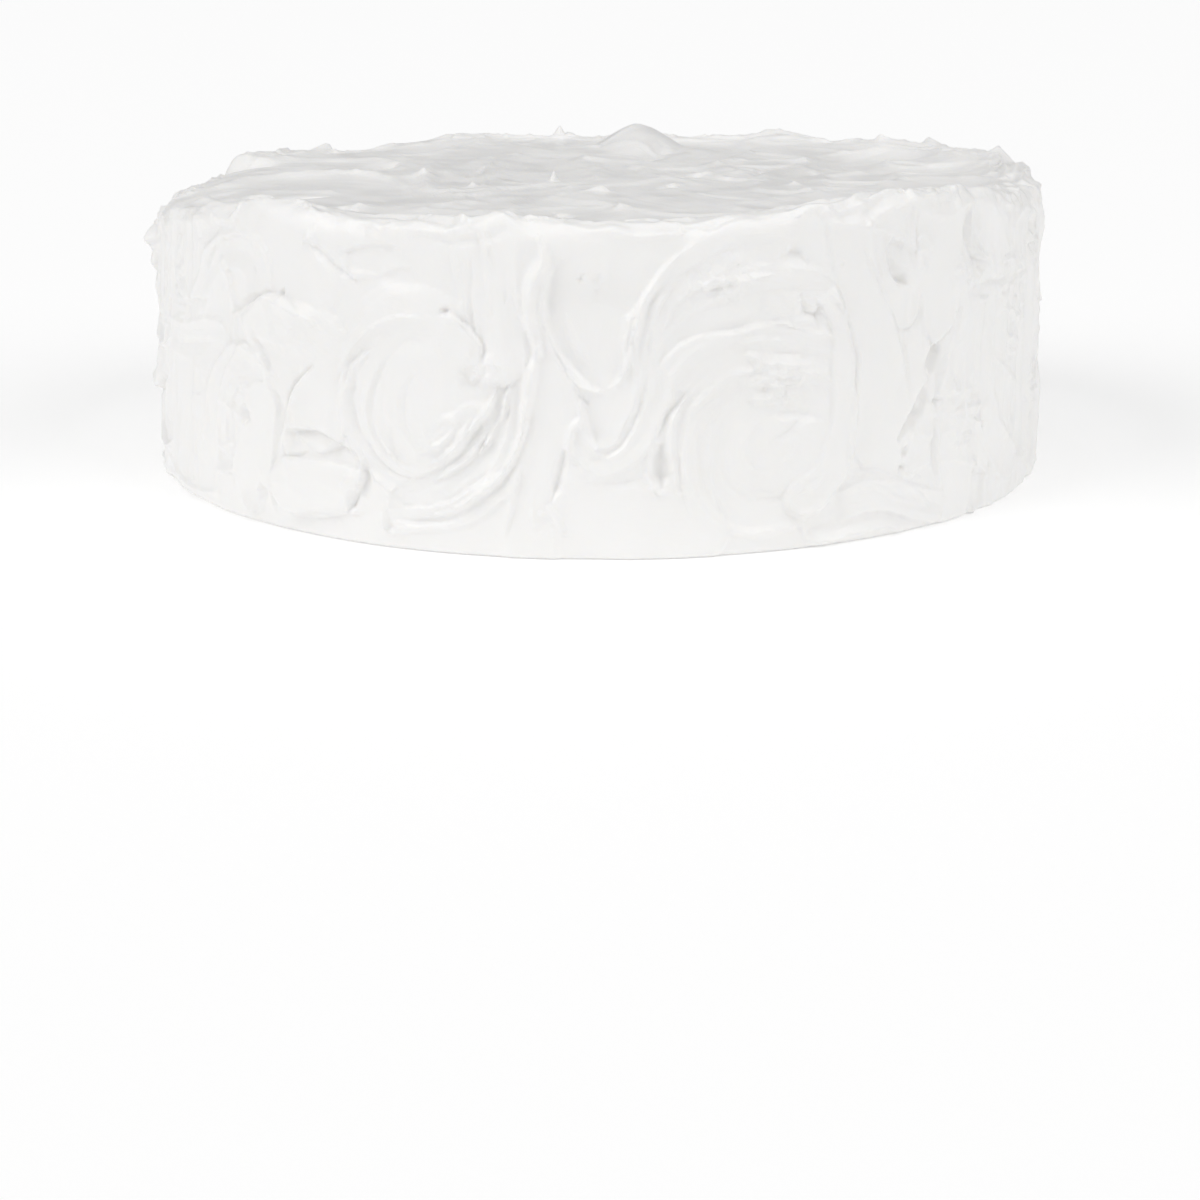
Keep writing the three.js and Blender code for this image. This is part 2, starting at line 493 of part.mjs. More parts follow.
// The iced surface at an angle round the cake and a distance up the side's chart. The corner stands for a cell of the
// surface. Its relief is the cell's mean, moved by a share of the way to the spot that differs most from it, so that
// ridges and pits narrower than a facet still show.
function surfaceAt(angle, up) {
  const { radius, z, out, rise } = outlineAt(up);
  const across = (i) => ((i + 0.5) / SAMPLES_ACROSS_CELL - 0.5) * RING_STEP;
  const spots = count(SAMPLES_ACROSS_CELL ** 2, (k) => {
    const a = angle + across(k % SAMPLES_ACROSS_CELL) / Math.max(radius, RING_STEP);
    const u = THREE.MathUtils.clamp(up + across(Math.floor(k / SAMPLES_ACROSS_CELL)), 0, CENTRE_AT);
    const reach = CENTRE_AT - u;
    const around = roundTo(a * TOP_RADIUS, 0);
    return { relief: reliefAt(around, u, reach * Math.sin(a), -reach * Math.cos(a)), tips: tipsAt(around, u) };
  });
  const mean = spots.reduce((sum, { relief }) => sum + relief, 0) / spots.length;
  const most = spots.reduce((far, { relief }) => (Math.abs(relief - mean) > Math.abs(far) ? relief - mean : far), 0);
  const relief = mean + most * (most > 0 ? RIDGE_SHARE : PIT_SHARE);
  const pull = waveAt(angle * TOP_RADIUS, up) + Math.max(...spots.map(({ tips }) => tips));
  const standing = radius + out * relief;
  const height = up === 0 ? 0 : Math.max(LOWEST_CORNER, z + rise * relief + pull);
  return new THREE.Vector3(standing * Math.sin(angle), -standing * Math.cos(angle), height);
}

// The rings of the solid from its foot to the middle of its top, with fewer columns as they shrink.
function ringPlan() {
  const rings = count(SIDE_RINGS, (i) => ({ up: (i * (RIM_AT - RIM_ARC / 2)) / (SIDE_RINGS - 1), columns: COLUMNS }));
  rings.splice(1, 0, { up: FOOT_ROUNDING, columns: COLUMNS });
  rings.push({ up: RIM_AT, columns: COLUMNS });
  for (let up = RIM_AT + RIM_ARC / 2; up < CENTRE_AT - RING_STEP / 2; up += RING_STEP) {
    const halvings = HALVING_RADII.filter((radius) => CENTRE_AT - up < radius).length;
    rings.push({ up, columns: COLUMNS / 2 ** halvings });
  }
  return rings;
}

// Joins the rings, the flat base and the middle of the top into one closed surface.
function icedCake() {
  const corners = [];
  const faces = [];
  const add = (p) => corners.push(p.x, p.y, p.z) / 3 - 1;
  const rows = ringPlan().map(({ up, columns }) =>
    count(columns, (i) => add(surfaceAt((2 * Math.PI * i) / columns, up))),
  );
  const at = (row, i) => row[i % row.length];
  for (let r = 1; r < rows.length; r += 1) {
    const [low, high] = [rows[r - 1], rows[r]];
    const fine = low.length / high.length;
    high.forEach((_, i) => {
      const a = at(low, fine * i);
      const b = at(low, fine * i + 1);
      if (fine === 2) {
        const c = at(low, fine * i + 2);
        faces.push(a, b, at(high, i), b, c, at(high, i + 1), b, at(high, i + 1), at(high, i));
      } else faces.push(a, b, at(high, i + 1), a, at(high, i + 1), at(high, i));
    });
  }
  const crown = add(surfaceAt(0, CENTRE_AT));
  const foot = add(new THREE.Vector3(0, 0, 0));
  const last = rows[rows.length - 1];
  last.forEach((corner, i) => faces.push(corner, at(last, i + 1), crown));
  rows[0].forEach((corner, i) => faces.push(at(rows[0], i + 1), corner, foot));
  const geometry = new THREE.BufferGeometry();
  geometry.setAttribute("position", new THREE.Float32BufferAttribute(corners, 3));
  geometry.setIndex(faces);
  geometry.computeVertexNormals();
  return geometry;
}

const buttercream = new THREE.MeshStandardMaterial({ color: 0xf3f1ed, roughness: 0.45, metalness: 0 });
const cake = new THREE.Mesh(icedCake(), buttercream);
cake.name = "frosted_cake";

const part = new THREE.Group();
part.add(cake);
export default part;
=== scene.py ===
"""A round layer cake covered in white buttercream, on a plain pale floor.

The icing is one skin. Its relief is laid on as a baker lays it, one knife stroke over another: each stroke
wipes out most of what was under it, leaves a trough with fine nicks along it, and pushes icing up along its
edges. The skin is worked out on a fine grid and then thinned to the faces that its shape needs.
"""
from __future__ import annotations

import logging
import math
from collections.abc import Callable
from dataclasses import dataclass, field, replace
from enum import Enum

import bpy
import numpy as np
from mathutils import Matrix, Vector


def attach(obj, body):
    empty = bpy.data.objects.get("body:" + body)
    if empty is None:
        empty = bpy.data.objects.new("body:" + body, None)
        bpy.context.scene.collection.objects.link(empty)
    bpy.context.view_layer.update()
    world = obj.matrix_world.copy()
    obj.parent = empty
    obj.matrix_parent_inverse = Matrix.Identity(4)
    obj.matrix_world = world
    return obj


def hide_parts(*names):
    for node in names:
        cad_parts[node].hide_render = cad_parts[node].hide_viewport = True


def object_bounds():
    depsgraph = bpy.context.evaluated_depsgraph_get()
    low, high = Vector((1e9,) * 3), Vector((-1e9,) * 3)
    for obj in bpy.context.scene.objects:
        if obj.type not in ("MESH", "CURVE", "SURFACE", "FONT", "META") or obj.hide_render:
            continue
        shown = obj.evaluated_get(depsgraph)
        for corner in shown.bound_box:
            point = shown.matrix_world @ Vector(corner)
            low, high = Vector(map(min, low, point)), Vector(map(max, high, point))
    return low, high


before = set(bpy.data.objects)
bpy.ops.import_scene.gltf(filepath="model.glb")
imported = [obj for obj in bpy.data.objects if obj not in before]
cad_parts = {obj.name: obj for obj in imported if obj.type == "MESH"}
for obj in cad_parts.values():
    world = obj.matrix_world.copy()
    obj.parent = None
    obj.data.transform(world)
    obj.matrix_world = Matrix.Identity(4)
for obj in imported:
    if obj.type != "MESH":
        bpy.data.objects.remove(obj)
CAD_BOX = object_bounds()

log = logging.getLogger("cake")

NODE = "frosted_cake"

MM = 0.001

# Factors with nothing in common, so that draws and cells of noise that lie side by side don't look alike.
DRAW_STEP = 12.9898
DRAW_SERIES = 78.233
DRAW_SCALE = 43758.5453
NOISE_ROW = 57.31

# Which series of draws the layers of each sheet begin with.
SIDE_SALT = 100
TOP_SALT = 400
PEAK_SALT = 600

Point = tuple[float, float]
Array = np.ndarray
Links = dict[str | int, object]


def draw(k: int | Array, salt: float) -> float | Array:
    """A repeatable draw from 0 to 1: the fraction of a large sine of the whole number k.

    Args:
        k: Which draw, a number or an array of them.
        salt: Which series of draws.

    Returns:
        The draw, of k's own shape.
    """
    value = np.sin(k * DRAW_STEP + salt * DRAW_SERIES) * DRAW_SCALE
    return value - np.floor(value)


def either_way(k: int, salt: float) -> int:
    """A draw of 1 or -1."""
    return -1 if draw(k, salt) < 0.5 else 1


def ease(t: float | Array) -> float | Array:
    """Rises smoothly from 0 to 1 as t does, by 3 t^2 - 2 t^3, and stays level outside."""
    u = np.clip(t, 0.0, 1.0)
    return u * u * (3.0 - 2.0 * u)


def noise(x: Array, y: Array, salt: float) -> Array:
    """Smooth noise from 0 to 1: draws at whole numbers, blended between them by ease.

    Args:
        x: First coordinate, one cell of the noise for each whole number.
        y: Second coordinate.
        salt: Which noise.

    Returns:
        The noise at each point.
    """
    i, j = np.floor(x), np.floor(y)
    u, v = ease(x - i), ease(y - j)
    low = draw(i + NOISE_ROW * j, salt) * (1 - u) + draw(i + 1 + NOISE_ROW * j, salt) * u
    high = draw(i + NOISE_ROW * (j + 1), salt) * (1 - u) + draw(i + 1 + NOISE_ROW * (j + 1), salt) * u
    return low * (1 - v) + high * v


def uneven(along: Array, salt: float) -> Array:
    """A share from 0.7 to 1.3 that rises and falls along a line, once for about each whole number."""
    return 0.7 + 0.6 * noise(along, np.zeros(along.shape), salt)


def arc(x: float, y: float, radius: float, start: float, sweep: float) -> tuple[Point, ...]:
    """Points along an arc, one for about every 40 degrees of it.

    Args:
        x: Centre, first coordinate.
        y: Centre, second coordinate.
        radius: Radius of the arc.
        start: Angle that it starts at, in degrees.
        sweep: How far it turns, in degrees, below 0 clockwise.

    Returns:
        The points.
    """
    steps = max(3, math.ceil(abs(sweep) / 40))
    angles = [math.radians(start + sweep * i / steps) for i in range(steps + 1)]
    return tuple((x + radius * math.cos(t), y + radius * math.sin(t)) for t in angles)


def linear(code: str) -> tuple[float, float, float, float]:
    """Turns an sRGB hex colour into the linear colour that a shader takes.

    Args:
        code: Six hex digits.

    Returns:
        Red, green, blue and alpha.
    """
    parts = [int(code[i:i + 2], 16) / 255 for i in (0, 2, 4)]
    return (*[c / 12.92 if c <= 0.04045 else ((c + 0.055) / 1.055) ** 2.4 for c in parts], 1.0)


@dataclass(frozen=True)
class CakeForm:
    """The plain cake under the relief, in millimetres: a drum that leans in a little, with a rounded rim.

    Two flat charts lie on it. The side's runs round the cake, 0 at the front, and up. Past the rim its
    second coordinate goes on across the top to the middle, where it is centre_at. The top's is the view
    from above. side_past_rim and top_past_rim are how far each chart's strokes are laid beyond the rim.
    """

    base_radius: float = 137.5
    top_radius: float = 134.0
    height: float = 86.5
    rim_rounding: float = 5.0
    foot_rounding: float = 1.5
    side_past_rim: float = 16.0
    top_past_rim: float = 5.0

    @property
    def rim_arc(self) -> float:
        """Length of the quarter circle that rounds the rim."""
        return self.rim_rounding * math.pi / 2

    @property
    def centre_at(self) -> float:
        """How far up the side's chart the middle of the top is."""
        return self.height + self.rim_arc / 2 + self.top_radius - self.rim_rounding

    @property
    def way_round(self) -> float:
        """Width of the side's chart, once round the cake."""
        return 2 * math.pi * self.top_radius

    @property
    def side_reach(self) -> float:
        """How far up its chart the side's strokes are laid."""
        return self.height + self.side_past_rim

    @property
    def top_reach(self) -> float:
        """How far down the side's chart the top's strokes are laid."""
        return self.height - self.top_past_rim

    def round_to(self, x: Array, from_x: float) -> Array:
        """The shorter way round the cake from one place on the side's chart to another, with its sign."""
        return x - from_x - self.way_round * np.round((x - from_x) / self.way_round)

    def outline(self, up: Array) -> tuple[Array, Array, Array, Array]:
        """The outline of the drum: a straight side, a quarter circle at the rim, and the flat top.

        Args:
            up: How far up the side's chart.

        Returns:
            Radius, height, and the outward and upward parts of the outline's normal.
        """
        side_end = self.height - self.rim_arc / 2
        share = np.clip(up / side_end, 0, 1)
        foot = self.foot_rounding * np.maximum(0, 1 - up / self.foot_rounding) ** 2
        turn = np.clip((up - side_end) / self.rim_rounding, 0, math.pi / 2)
        over = np.maximum(0, up - side_end - self.rim_arc)
        lean = self.base_radius + (self.top_radius - self.base_radius) * share
        radius = lean - foot - self.rim_rounding * (1 - np.cos(turn)) - over
        z = share * (self.height - self.rim_rounding) + self.rim_rounding * np.sin(turn)
        return radius, z, np.cos(turn), np.sin(turn)


FORM = CakeForm()


@dataclass
class Track:
    """The line that a blade, a crack or a flake follows: a smooth curve through a few points."""

    line: tuple[Point, ...]
    steps: int = 26
    points: Array = field(init=False)
    length: float = field(init=False)

    def __post_init__(self) -> None:
        """Works out the curve: between two points, the Catmull-Rom cubic of them and their neighbours."""
        knots = np.array(self.line, dtype=float)
        at = np.linspace(0, len(knots) - 1, self.steps + 1)
        k = np.minimum(at.astype(int), len(knots) - 2)
        t = (at - k)[:, None]
        before, start = knots[np.maximum(k - 1, 0)], knots[k]
        end, after = knots[k + 1], knots[np.minimum(k + 2, len(knots) - 1)]
        leave, arrive = (end - before) / 2, (after - start) / 2
        cubic = (2 * start - 2 * end + leave + arrive) * t ** 3
        square = (-3 * start + 3 * end - 2 * leave - arrive) * t ** 2
        self.points = cubic + square + leave * t + start
        self.length = float(np.linalg.norm(np.diff(self.points, axis=0), axis=1).sum())

    @property
    def middle(self) -> float:
        """Middle of the line's extent along the chart's first coordinate."""
        return float(self.points[:, 0].min() + self.points[:, 0].max()) / 2

    def nearest(self, x: Array, y: Array) -> tuple[Array, Array, Array]:
        """The nearest place on the line: each straight step of it is tested against all points at once.

        Args:
            x: First coordinates of the points.
            y: Second coordinates of the points.

        Returns:
            How far each point is from the line, how far along the line that is, and how far to the line's
            left.
        """
        best = np.full(x.shape, np.inf)
        along = np.zeros(x.shape)
        left = np.zeros(x.shape)
        gone = 0.0
        for start, end in zip(self.points[:-1], self.points[1:]):
            dx, dy = end - start
            span = math.hypot(dx, dy)
            share = np.clip(((x - start[0]) * dx + (y - start[1]) * dy) / span ** 2, 0, 1)
            distance = np.hypot(x - start[0] - share * dx, y - start[1] - share * dy)
            nearer = distance < best
            best = np.where(nearer, distance, best)
            along = np.where(nearer, gone + share * span, along)
            left = np.where(nearer, (dx * (y - start[1]) - dy * (x - start[0])) / span, left)
            gone += span
        return best, along, left


@dataclass(frozen=True)
class Touch:
    """How the blade's edge leaves the icing, in millimetres.

    ridge_width is how wide a ridge is, ridges the share of its named height that it keeps, breaks how far
    apart it rises and falls, raggedness how far its line strays, softness how wide the edge of a stroke
    fades and lip_softness that of a lip.
    """

    ridge_width: float
    ridges: float
    breaks: float
    raggedness: float
    softness: float
    lip_softness: float


@dataclass(frozen=True)
class Knife:
    """How the blade works the icing, in millimetres, or as shares of a stroke's own width or height.

    A stroke's edge wanders by edge_wander of its width, once in wander_length. Its ridge is ridge_foot
    times as wide inside as outside, and its height plays between ridge_least and that plus ridge_play.
    wander_apart and breaks_apart keep its left and right edge from looking alike. The blade sinks in over
    landing half widths. Its nicks are nick_stretch times as long as wide, and show in full from firm_from
    inside the edge. The icing is torn here and there in cells of tear_cell, and along its ridges. A
    crease's height plays over crease_breaks of the touch's own length, and its ends keep crease_end of
    it. A lip's plays over lip_breaks, with a shadow under it. ragged_length is the size of the noise that
    frays every edge.
    """

    ridge_foot: float = 2.0
    ridge_lane: float = 6.0
    ridge_least: float = 0.6
    ridge_play: float = 0.8
    breaks_apart: float = 3.0
    edge_wander: float = 0.1
    wander_length: float = 11.0
    wander_apart: float = 7.0
    landing: float = 0.9
    coarse_nicks: float = 3.0
    coarse_share: float = 0.8
    fine_nicks: float = 1.1
    fine_share: float = 0.4
    nick_stretch: float = 14.0
    firm_from: float = 2.5
    firm_least: float = 0.35
    tear_cell: Point = (5.0, 13.0)
    tear_share: float = 0.2
    ridge_tear: float = 0.25
    ridge_tear_width: float = 2.2
    crease_breaks: float = 0.6
    crease_end: float = 0.35
    lip_breaks: float = 4.0
    lip_shadow: float = 1.3
    shadow_share: float = 0.4
    ragged_length: float = 2.2


KNIFE = Knife()


@dataclass
class Sheet:
    """The icing on one flat chart: each point, how far it stands out and how the knife went over it.

    wraps says whether the chart runs round the cake, and touch how the blade was held there. across and
    along are each point's place in its stroke, nicks how strongly the blade's nicks show and torn how
    torn it is.
    """

    x: Array
    y: Array
    wraps: bool
    touch: Touch
    height: Array
    across: Array = field(init=False)
    along: Array = field(init=False)
    nicks: Array = field(init=False)
    torn: Array = field(init=False)
    ragged: Array = field(init=False)

    def __post_init__(self) -> None:
        """Starts with no knife marks, and works out the fine noise that makes every edge ragged."""
        self.across, self.along, self.nicks, self.torn = (np.zeros(self.x.shape) for _ in range(4))
        coarse = noise(self.x / KNIFE.ragged_length, self.y / KNIFE.ragged_length, 61) - 0.5
        fine = noise(self.x / KNIFE.ragged_length * 2, self.y / KNIFE.ragged_length * 2, 62) - 0.5
        self.ragged = coarse + 0.5 * fine

    def near(self, track: Track, margin: float) -> tuple[Array, Array, Array]:
        """The points close to a line.

        Args:
            track: The line.
            margin: How far from its extent still counts.

        Returns:
            Which points, and their coordinates, moved once round the cake where that brings them to the
            line.
        """
        x = track.middle + FORM.round_to(self.x, track.middle) if self.wraps else self.x
        low, high = track.points.min(axis=0) - margin, track.points.max(axis=0) + margin
        picked = np.nonzero((x > low[0]) & (x < high[0]) & (self.y > low[1]) & (self.y < high[1]))[0]
        return picked, x[picked], self.y[picked]


@dataclass(frozen=True)
class Stroke:
    """One knife stroke.

    line is where the blade's middle goes, width its width at both ends, lift how proud the icing stands,
    depth how deep it is hollowed (below 0 it is domed), ridge the height of its left and right edge, comb
    how strongly the nicks of the blade mark it, kept the share of the old relief that stays under it, and
    softness how wide its edge fades, if not as the sheet's touch has it.
    """

    line: tuple[Point, ...]
    width: tuple[float, float]
    lift: float
    depth: float
    ridge: tuple[float, float]
    comb: float
    kept: float = 0.25
    softness: float | None = None

    def spread(self, sheet: Sheet, salt: float) -> None:
        """Lays the stroke on a sheet.

        Inside the blade's width the height becomes a share of what was there, plus lift, less depth times
        1 - (distance / half width)^2, plus nicks. Where the blade lands, this fades in. A bell curve of
        distance - half width, steeper outside than inside, is added as its ridge.

        Args:
            sheet: The icing so far, which is changed.
            salt: Which noise its nicks and its uneven edge take.
        """
        track = Track(self.line)
        touch = sheet.touch
        soft = self.softness or touch.softness
        reach = max(self.width) / 2 * (1 + KNIFE.edge_wander) + max(3 * touch.ridge_width, soft / 2)
        picked, x, y = sheet.near(track, reach)
        distance, along, left = track.nearest(x, y)

        lane = along / KNIFE.wander_length + KNIFE.wander_apart * np.sign(left)
        wander = noise(lane, np.zeros(along.shape), salt + 0.3) - 0.5
        ragged = touch.raggedness * sheet.ragged[picked]
        width = self.width[0] + (self.width[1] - self.width[0]) * along / track.length
        half = width / 2 * (1 + 2 * KNIFE.edge_wander * wander) + ragged
        landed = ease(along / (KNIFE.landing * half))
        inside = ease((half - distance) / soft + 0.5) * landed
        beyond = distance - half

        height = sheet.height[picked]
        trough = self.lift - self.depth * (1 - np.minimum(1, distance / half) ** 2)
        wiped = self.kept * height + trough + self.comb * self.nicked(left, along, salt)
        edge = self.ridge[1] + (self.ridge[0] - self.ridge[1]) * (np.clip(left / half, -1, 1) + 1) / 2
        lane = along / touch.breaks + KNIFE.breaks_apart * np.sign(left)
        broken = KNIFE.ridge_least + KNIFE.ridge_play * noise(lane, distance / KNIFE.ridge_lane, salt + 0.5)
        foot = touch.ridge_width * np.where(beyond > 0, 1.0, KNIFE.ridge_foot)
        raised = touch.ridges * edge * (broken + ragged) * landed * np.exp(-((beyond / foot) ** 2))
        sheet.height[picked] = height * (1 - inside) + wiped * inside + raised

        marked = inside > 0.5
        sheet.across[picked[marked]] = left[marked]
        sheet.along[picked[marked]] = along[marked]
        firm = np.clip((half - distance) / KNIFE.firm_from, 0, 1) * (KNIFE.firm_least + self.comb)
        sheet.nicks[picked] = sheet.nicks[picked] * (1 - inside) + firm * inside
        cells = noise(left / KNIFE.tear_cell[0], along / KNIFE.tear_cell[1], salt + 0.9)
        rough = KNIFE.tear_share * ease(cells * 5 - 2.9)
        torn_edge = KNIFE.ridge_tear * np.minimum(1, np.abs(edge)) * landed
        torn_edge = torn_edge * np.exp(-((beyond / KNIFE.ridge_tear_width) ** 2))
        sheet.torn[picked] = sheet.torn[picked] * (1 - inside) + rough * inside + torn_edge

    @staticmethod
    def nicked(left: Array, along: Array, salt: float) -> Array:
        """The lines of the blade's nicks: a coarse and a fine noise, both drawn out along the stroke."""
        wide, thin = KNIFE.coarse_nicks, KNIFE.fine_nicks
        coarse = noise(left / wide, along / (wide * KNIFE.nick_stretch), salt) - 0.5
        fine = noise(left / thin, along / (thin * 2 * KNIFE.nick_stretch), salt + 0.7) - 0.5
        return KNIFE.coarse_share * coarse + KNIFE.fine_share * fine

    def moved(self, move: Callable[[Point], Point], mirrored: bool) -> Stroke:
        """The same stroke elsewhere, with its left and right ridges swapped if the move is a mirror."""
        ridge = self.ridge[::-1] if mirrored else self.ridge
        return replace(self, line=tuple(move(p) for p in self.line), ridge=ridge)


@dataclass(frozen=True)
class Crease:
    """A thin ridge, or, with a height below 0, a pocket or crack that the knife left open."""

    line: tuple[Point, ...]
    height: float
    width: float

    def spread(self, sheet: Sheet, salt: float) -> None:
        """Adds height times a bell curve of the distance to the line, uneven and narrower at its ends."""
        track = Track(self.line)
        picked, x, y = sheet.near(track, 3 * self.width)
        distance, along, _ = track.nearest(x, y)
        distance = np.abs(distance + sheet.touch.raggedness * sheet.ragged[picked])
        to_end = ease(3 * np.minimum(along, track.length - along) / track.length)
        taper = KNIFE.crease_end + (1 - KNIFE.crease_end) * to_end
        share = taper * uneven(along / sheet.touch.breaks / KNIFE.crease_breaks, salt)
        height = self.height * (sheet.touch.ridges if self.height > 0 else 1.0)
        sheet.height[picked] += height * share * np.exp(-((distance / (self.width * taper)) ** 2))

    def moved(self, move: Callable[[Point], Point], mirrored: bool) -> Crease:
        """The same crease elsewhere."""
        return replace(self, line=tuple(move(p) for p in self.line))


@dataclass(frozen=True)
class Lip:
    """An edge where one layer of icing ends on another: the left of the line stands over the right."""

    line: tuple[Point, ...]
    height: float
    falloff: float

    def spread(self, sheet: Sheet, salt: float) -> None:
        """Raises the left by height times a bell curve of the distance, and sinks a shadow on the right."""
        track = Track(self.line)
        picked, x, y = sheet.near(track, 3 * self.falloff)
        distance, along, left = track.nearest(x, y)
        taper = ease(4 * np.minimum(along, track.length - along) / track.length)
        share = taper * uneven(along / KNIFE.lip_breaks, salt)
        aside = np.sign(left) * distance + sheet.touch.raggedness * sheet.ragged[picked]
        side = ease(aside / sheet.touch.lip_softness * 0.5 + 0.5)
        over = np.exp(-((np.maximum(aside, 0) / self.falloff) ** 2))
        under = -KNIFE.shadow_share * np.exp(-((np.minimum(aside, 0) / KNIFE.lip_shadow) ** 2))
        height = self.height * sheet.touch.ridges
        sheet.height[picked] += height * share * (side * over + (1 - side) * under)

    def moved(self, move: Callable[[Point], Point], mirrored: bool) -> Lip:
        """The same edge elsewhere, run backwards if the move is a mirror, so that the same side is up."""
        line = tuple(move(p) for p in self.line)
        return replace(self, line=line[::-1] if mirrored else line)


@dataclass(frozen=True)
class RoughPatch:
    """Where the icing tore as the knife left it, and stayed wrinkled.

    size is its reach both ways, and fade how steeply it begins at its edge. wrinkle and grain are the sizes
    of its wrinkles' and its grain's cells. wrinkled, grained and floor are how high they stand and how far
    the icing between them sinks, and tear how strongly it counts as torn, all as shares of depth.
    """

    at: Point
    size: Point
    depth: float
    wrinkle: Point = (4.2, 2.6)
    grain: Point = (1.8, 1.5)
    fade: float = 1.6
    wrinkled: float = 0.7
    grained: float = 0.35
    floor: float = 0.2
    tear: float = 0.55

    def spread(self, sheet: Sheet, salt: float) -> None:
        """Adds wrinkles, the crests of a noise, and a finer grain inside an ellipse, fading to its edge."""
        x = FORM.round_to(sheet.x, self.at[0]) / self.size[0]
        y = (sheet.y - self.at[1]) / self.size[1]
        inside = ease(self.fade * (1 - np.hypot(x, y)))
        picked = np.nonzero(inside > 0)[0]
        u, v = sheet.x[picked], sheet.y[picked]
        wrinkles = (1 - np.abs(2 * noise(u / self.wrinkle[0], v / self.wrinkle[1], salt) - 1)) ** 2
        grain = noise(u / self.grain[0], v / self.grain[1], salt + 0.5)
        relief = self.wrinkled * wrinkles + self.grained * grain - self.floor
        sheet.height[picked] += inside[picked] * self.depth * relief
        sheet.torn[picked] += self.tear * inside[picked] * self.depth

    def moved(self, move: Callable[[Point], Point], mirrored: bool) -> RoughPatch:
        """The same patch elsewhere."""
        return replace(self, at=move(self.at))


@dataclass(frozen=True)
class Peak:
    """A small point that the knife pulled up as it left the icing: a crest that falls away along its drag.

    drag is the way that it was pulled, in degrees, trail how long its crest is, in radii, and lump the size
    of its unevenness.
    """

    x: float
    y: float
    height: float
    radius: float
    drag: float
    trail: float = 3.2
    lump: float = 2.6
    steepness: float = 1.2

    def spread(self, sheet: Sheet, salt: float) -> None:
        """Raises a crest along a short line: its height times an exponential of the uneven distance."""
        turn = math.radians(self.drag)
        reach = self.trail * self.radius
        track = Track(((self.x, self.y), (self.x + reach * math.cos(turn), self.y + reach * math.sin(turn))))
        picked, x, y = sheet.near(track, 5 * self.radius)
        distance, along, _ = track.nearest(x, y)
        stretch = 0.65 + 0.7 * noise(x / self.lump, y / self.lump, salt)
        crest = self.height * (1 - 0.8 * ease(along / track.length))
        sheet.height[picked] += crest * np.exp(-((distance * stretch / self.radius) ** self.steepness))


@dataclass(frozen=True)
class RimTip:
    """A point of the rim. reach is how far it slopes away to its left and right."""

    at: float
    height: float
    reach: tuple[float, float]

    def rise(self, around: Array) -> Array:
        """Falls off in a straight line on both sides of the tip."""
        beyond = FORM.round_to(around, self.at)
        reach = np.where(beyond < 0, self.reach[0], self.reach[1])
        return self.height * np.maximum(0, 1 - np.abs(beyond) / reach)


# The front's undercoat, in wide upright bands: where each is, its width, lift, comb and kept.
UNDERCOAT = (
    (-128, 52, 0.5, 0.6, 0.45),
    (-84, 56, 0.8, 0.25, 0.15),
    (-36, 56, 0.6, 0.25, 0.15),
    (12, 56, 0.5, 0.2, 0.15),
    (60, 56, 0.6, 0.25, 0.15),
    (106, 54, 0.6, 0.6, 0.4),
)

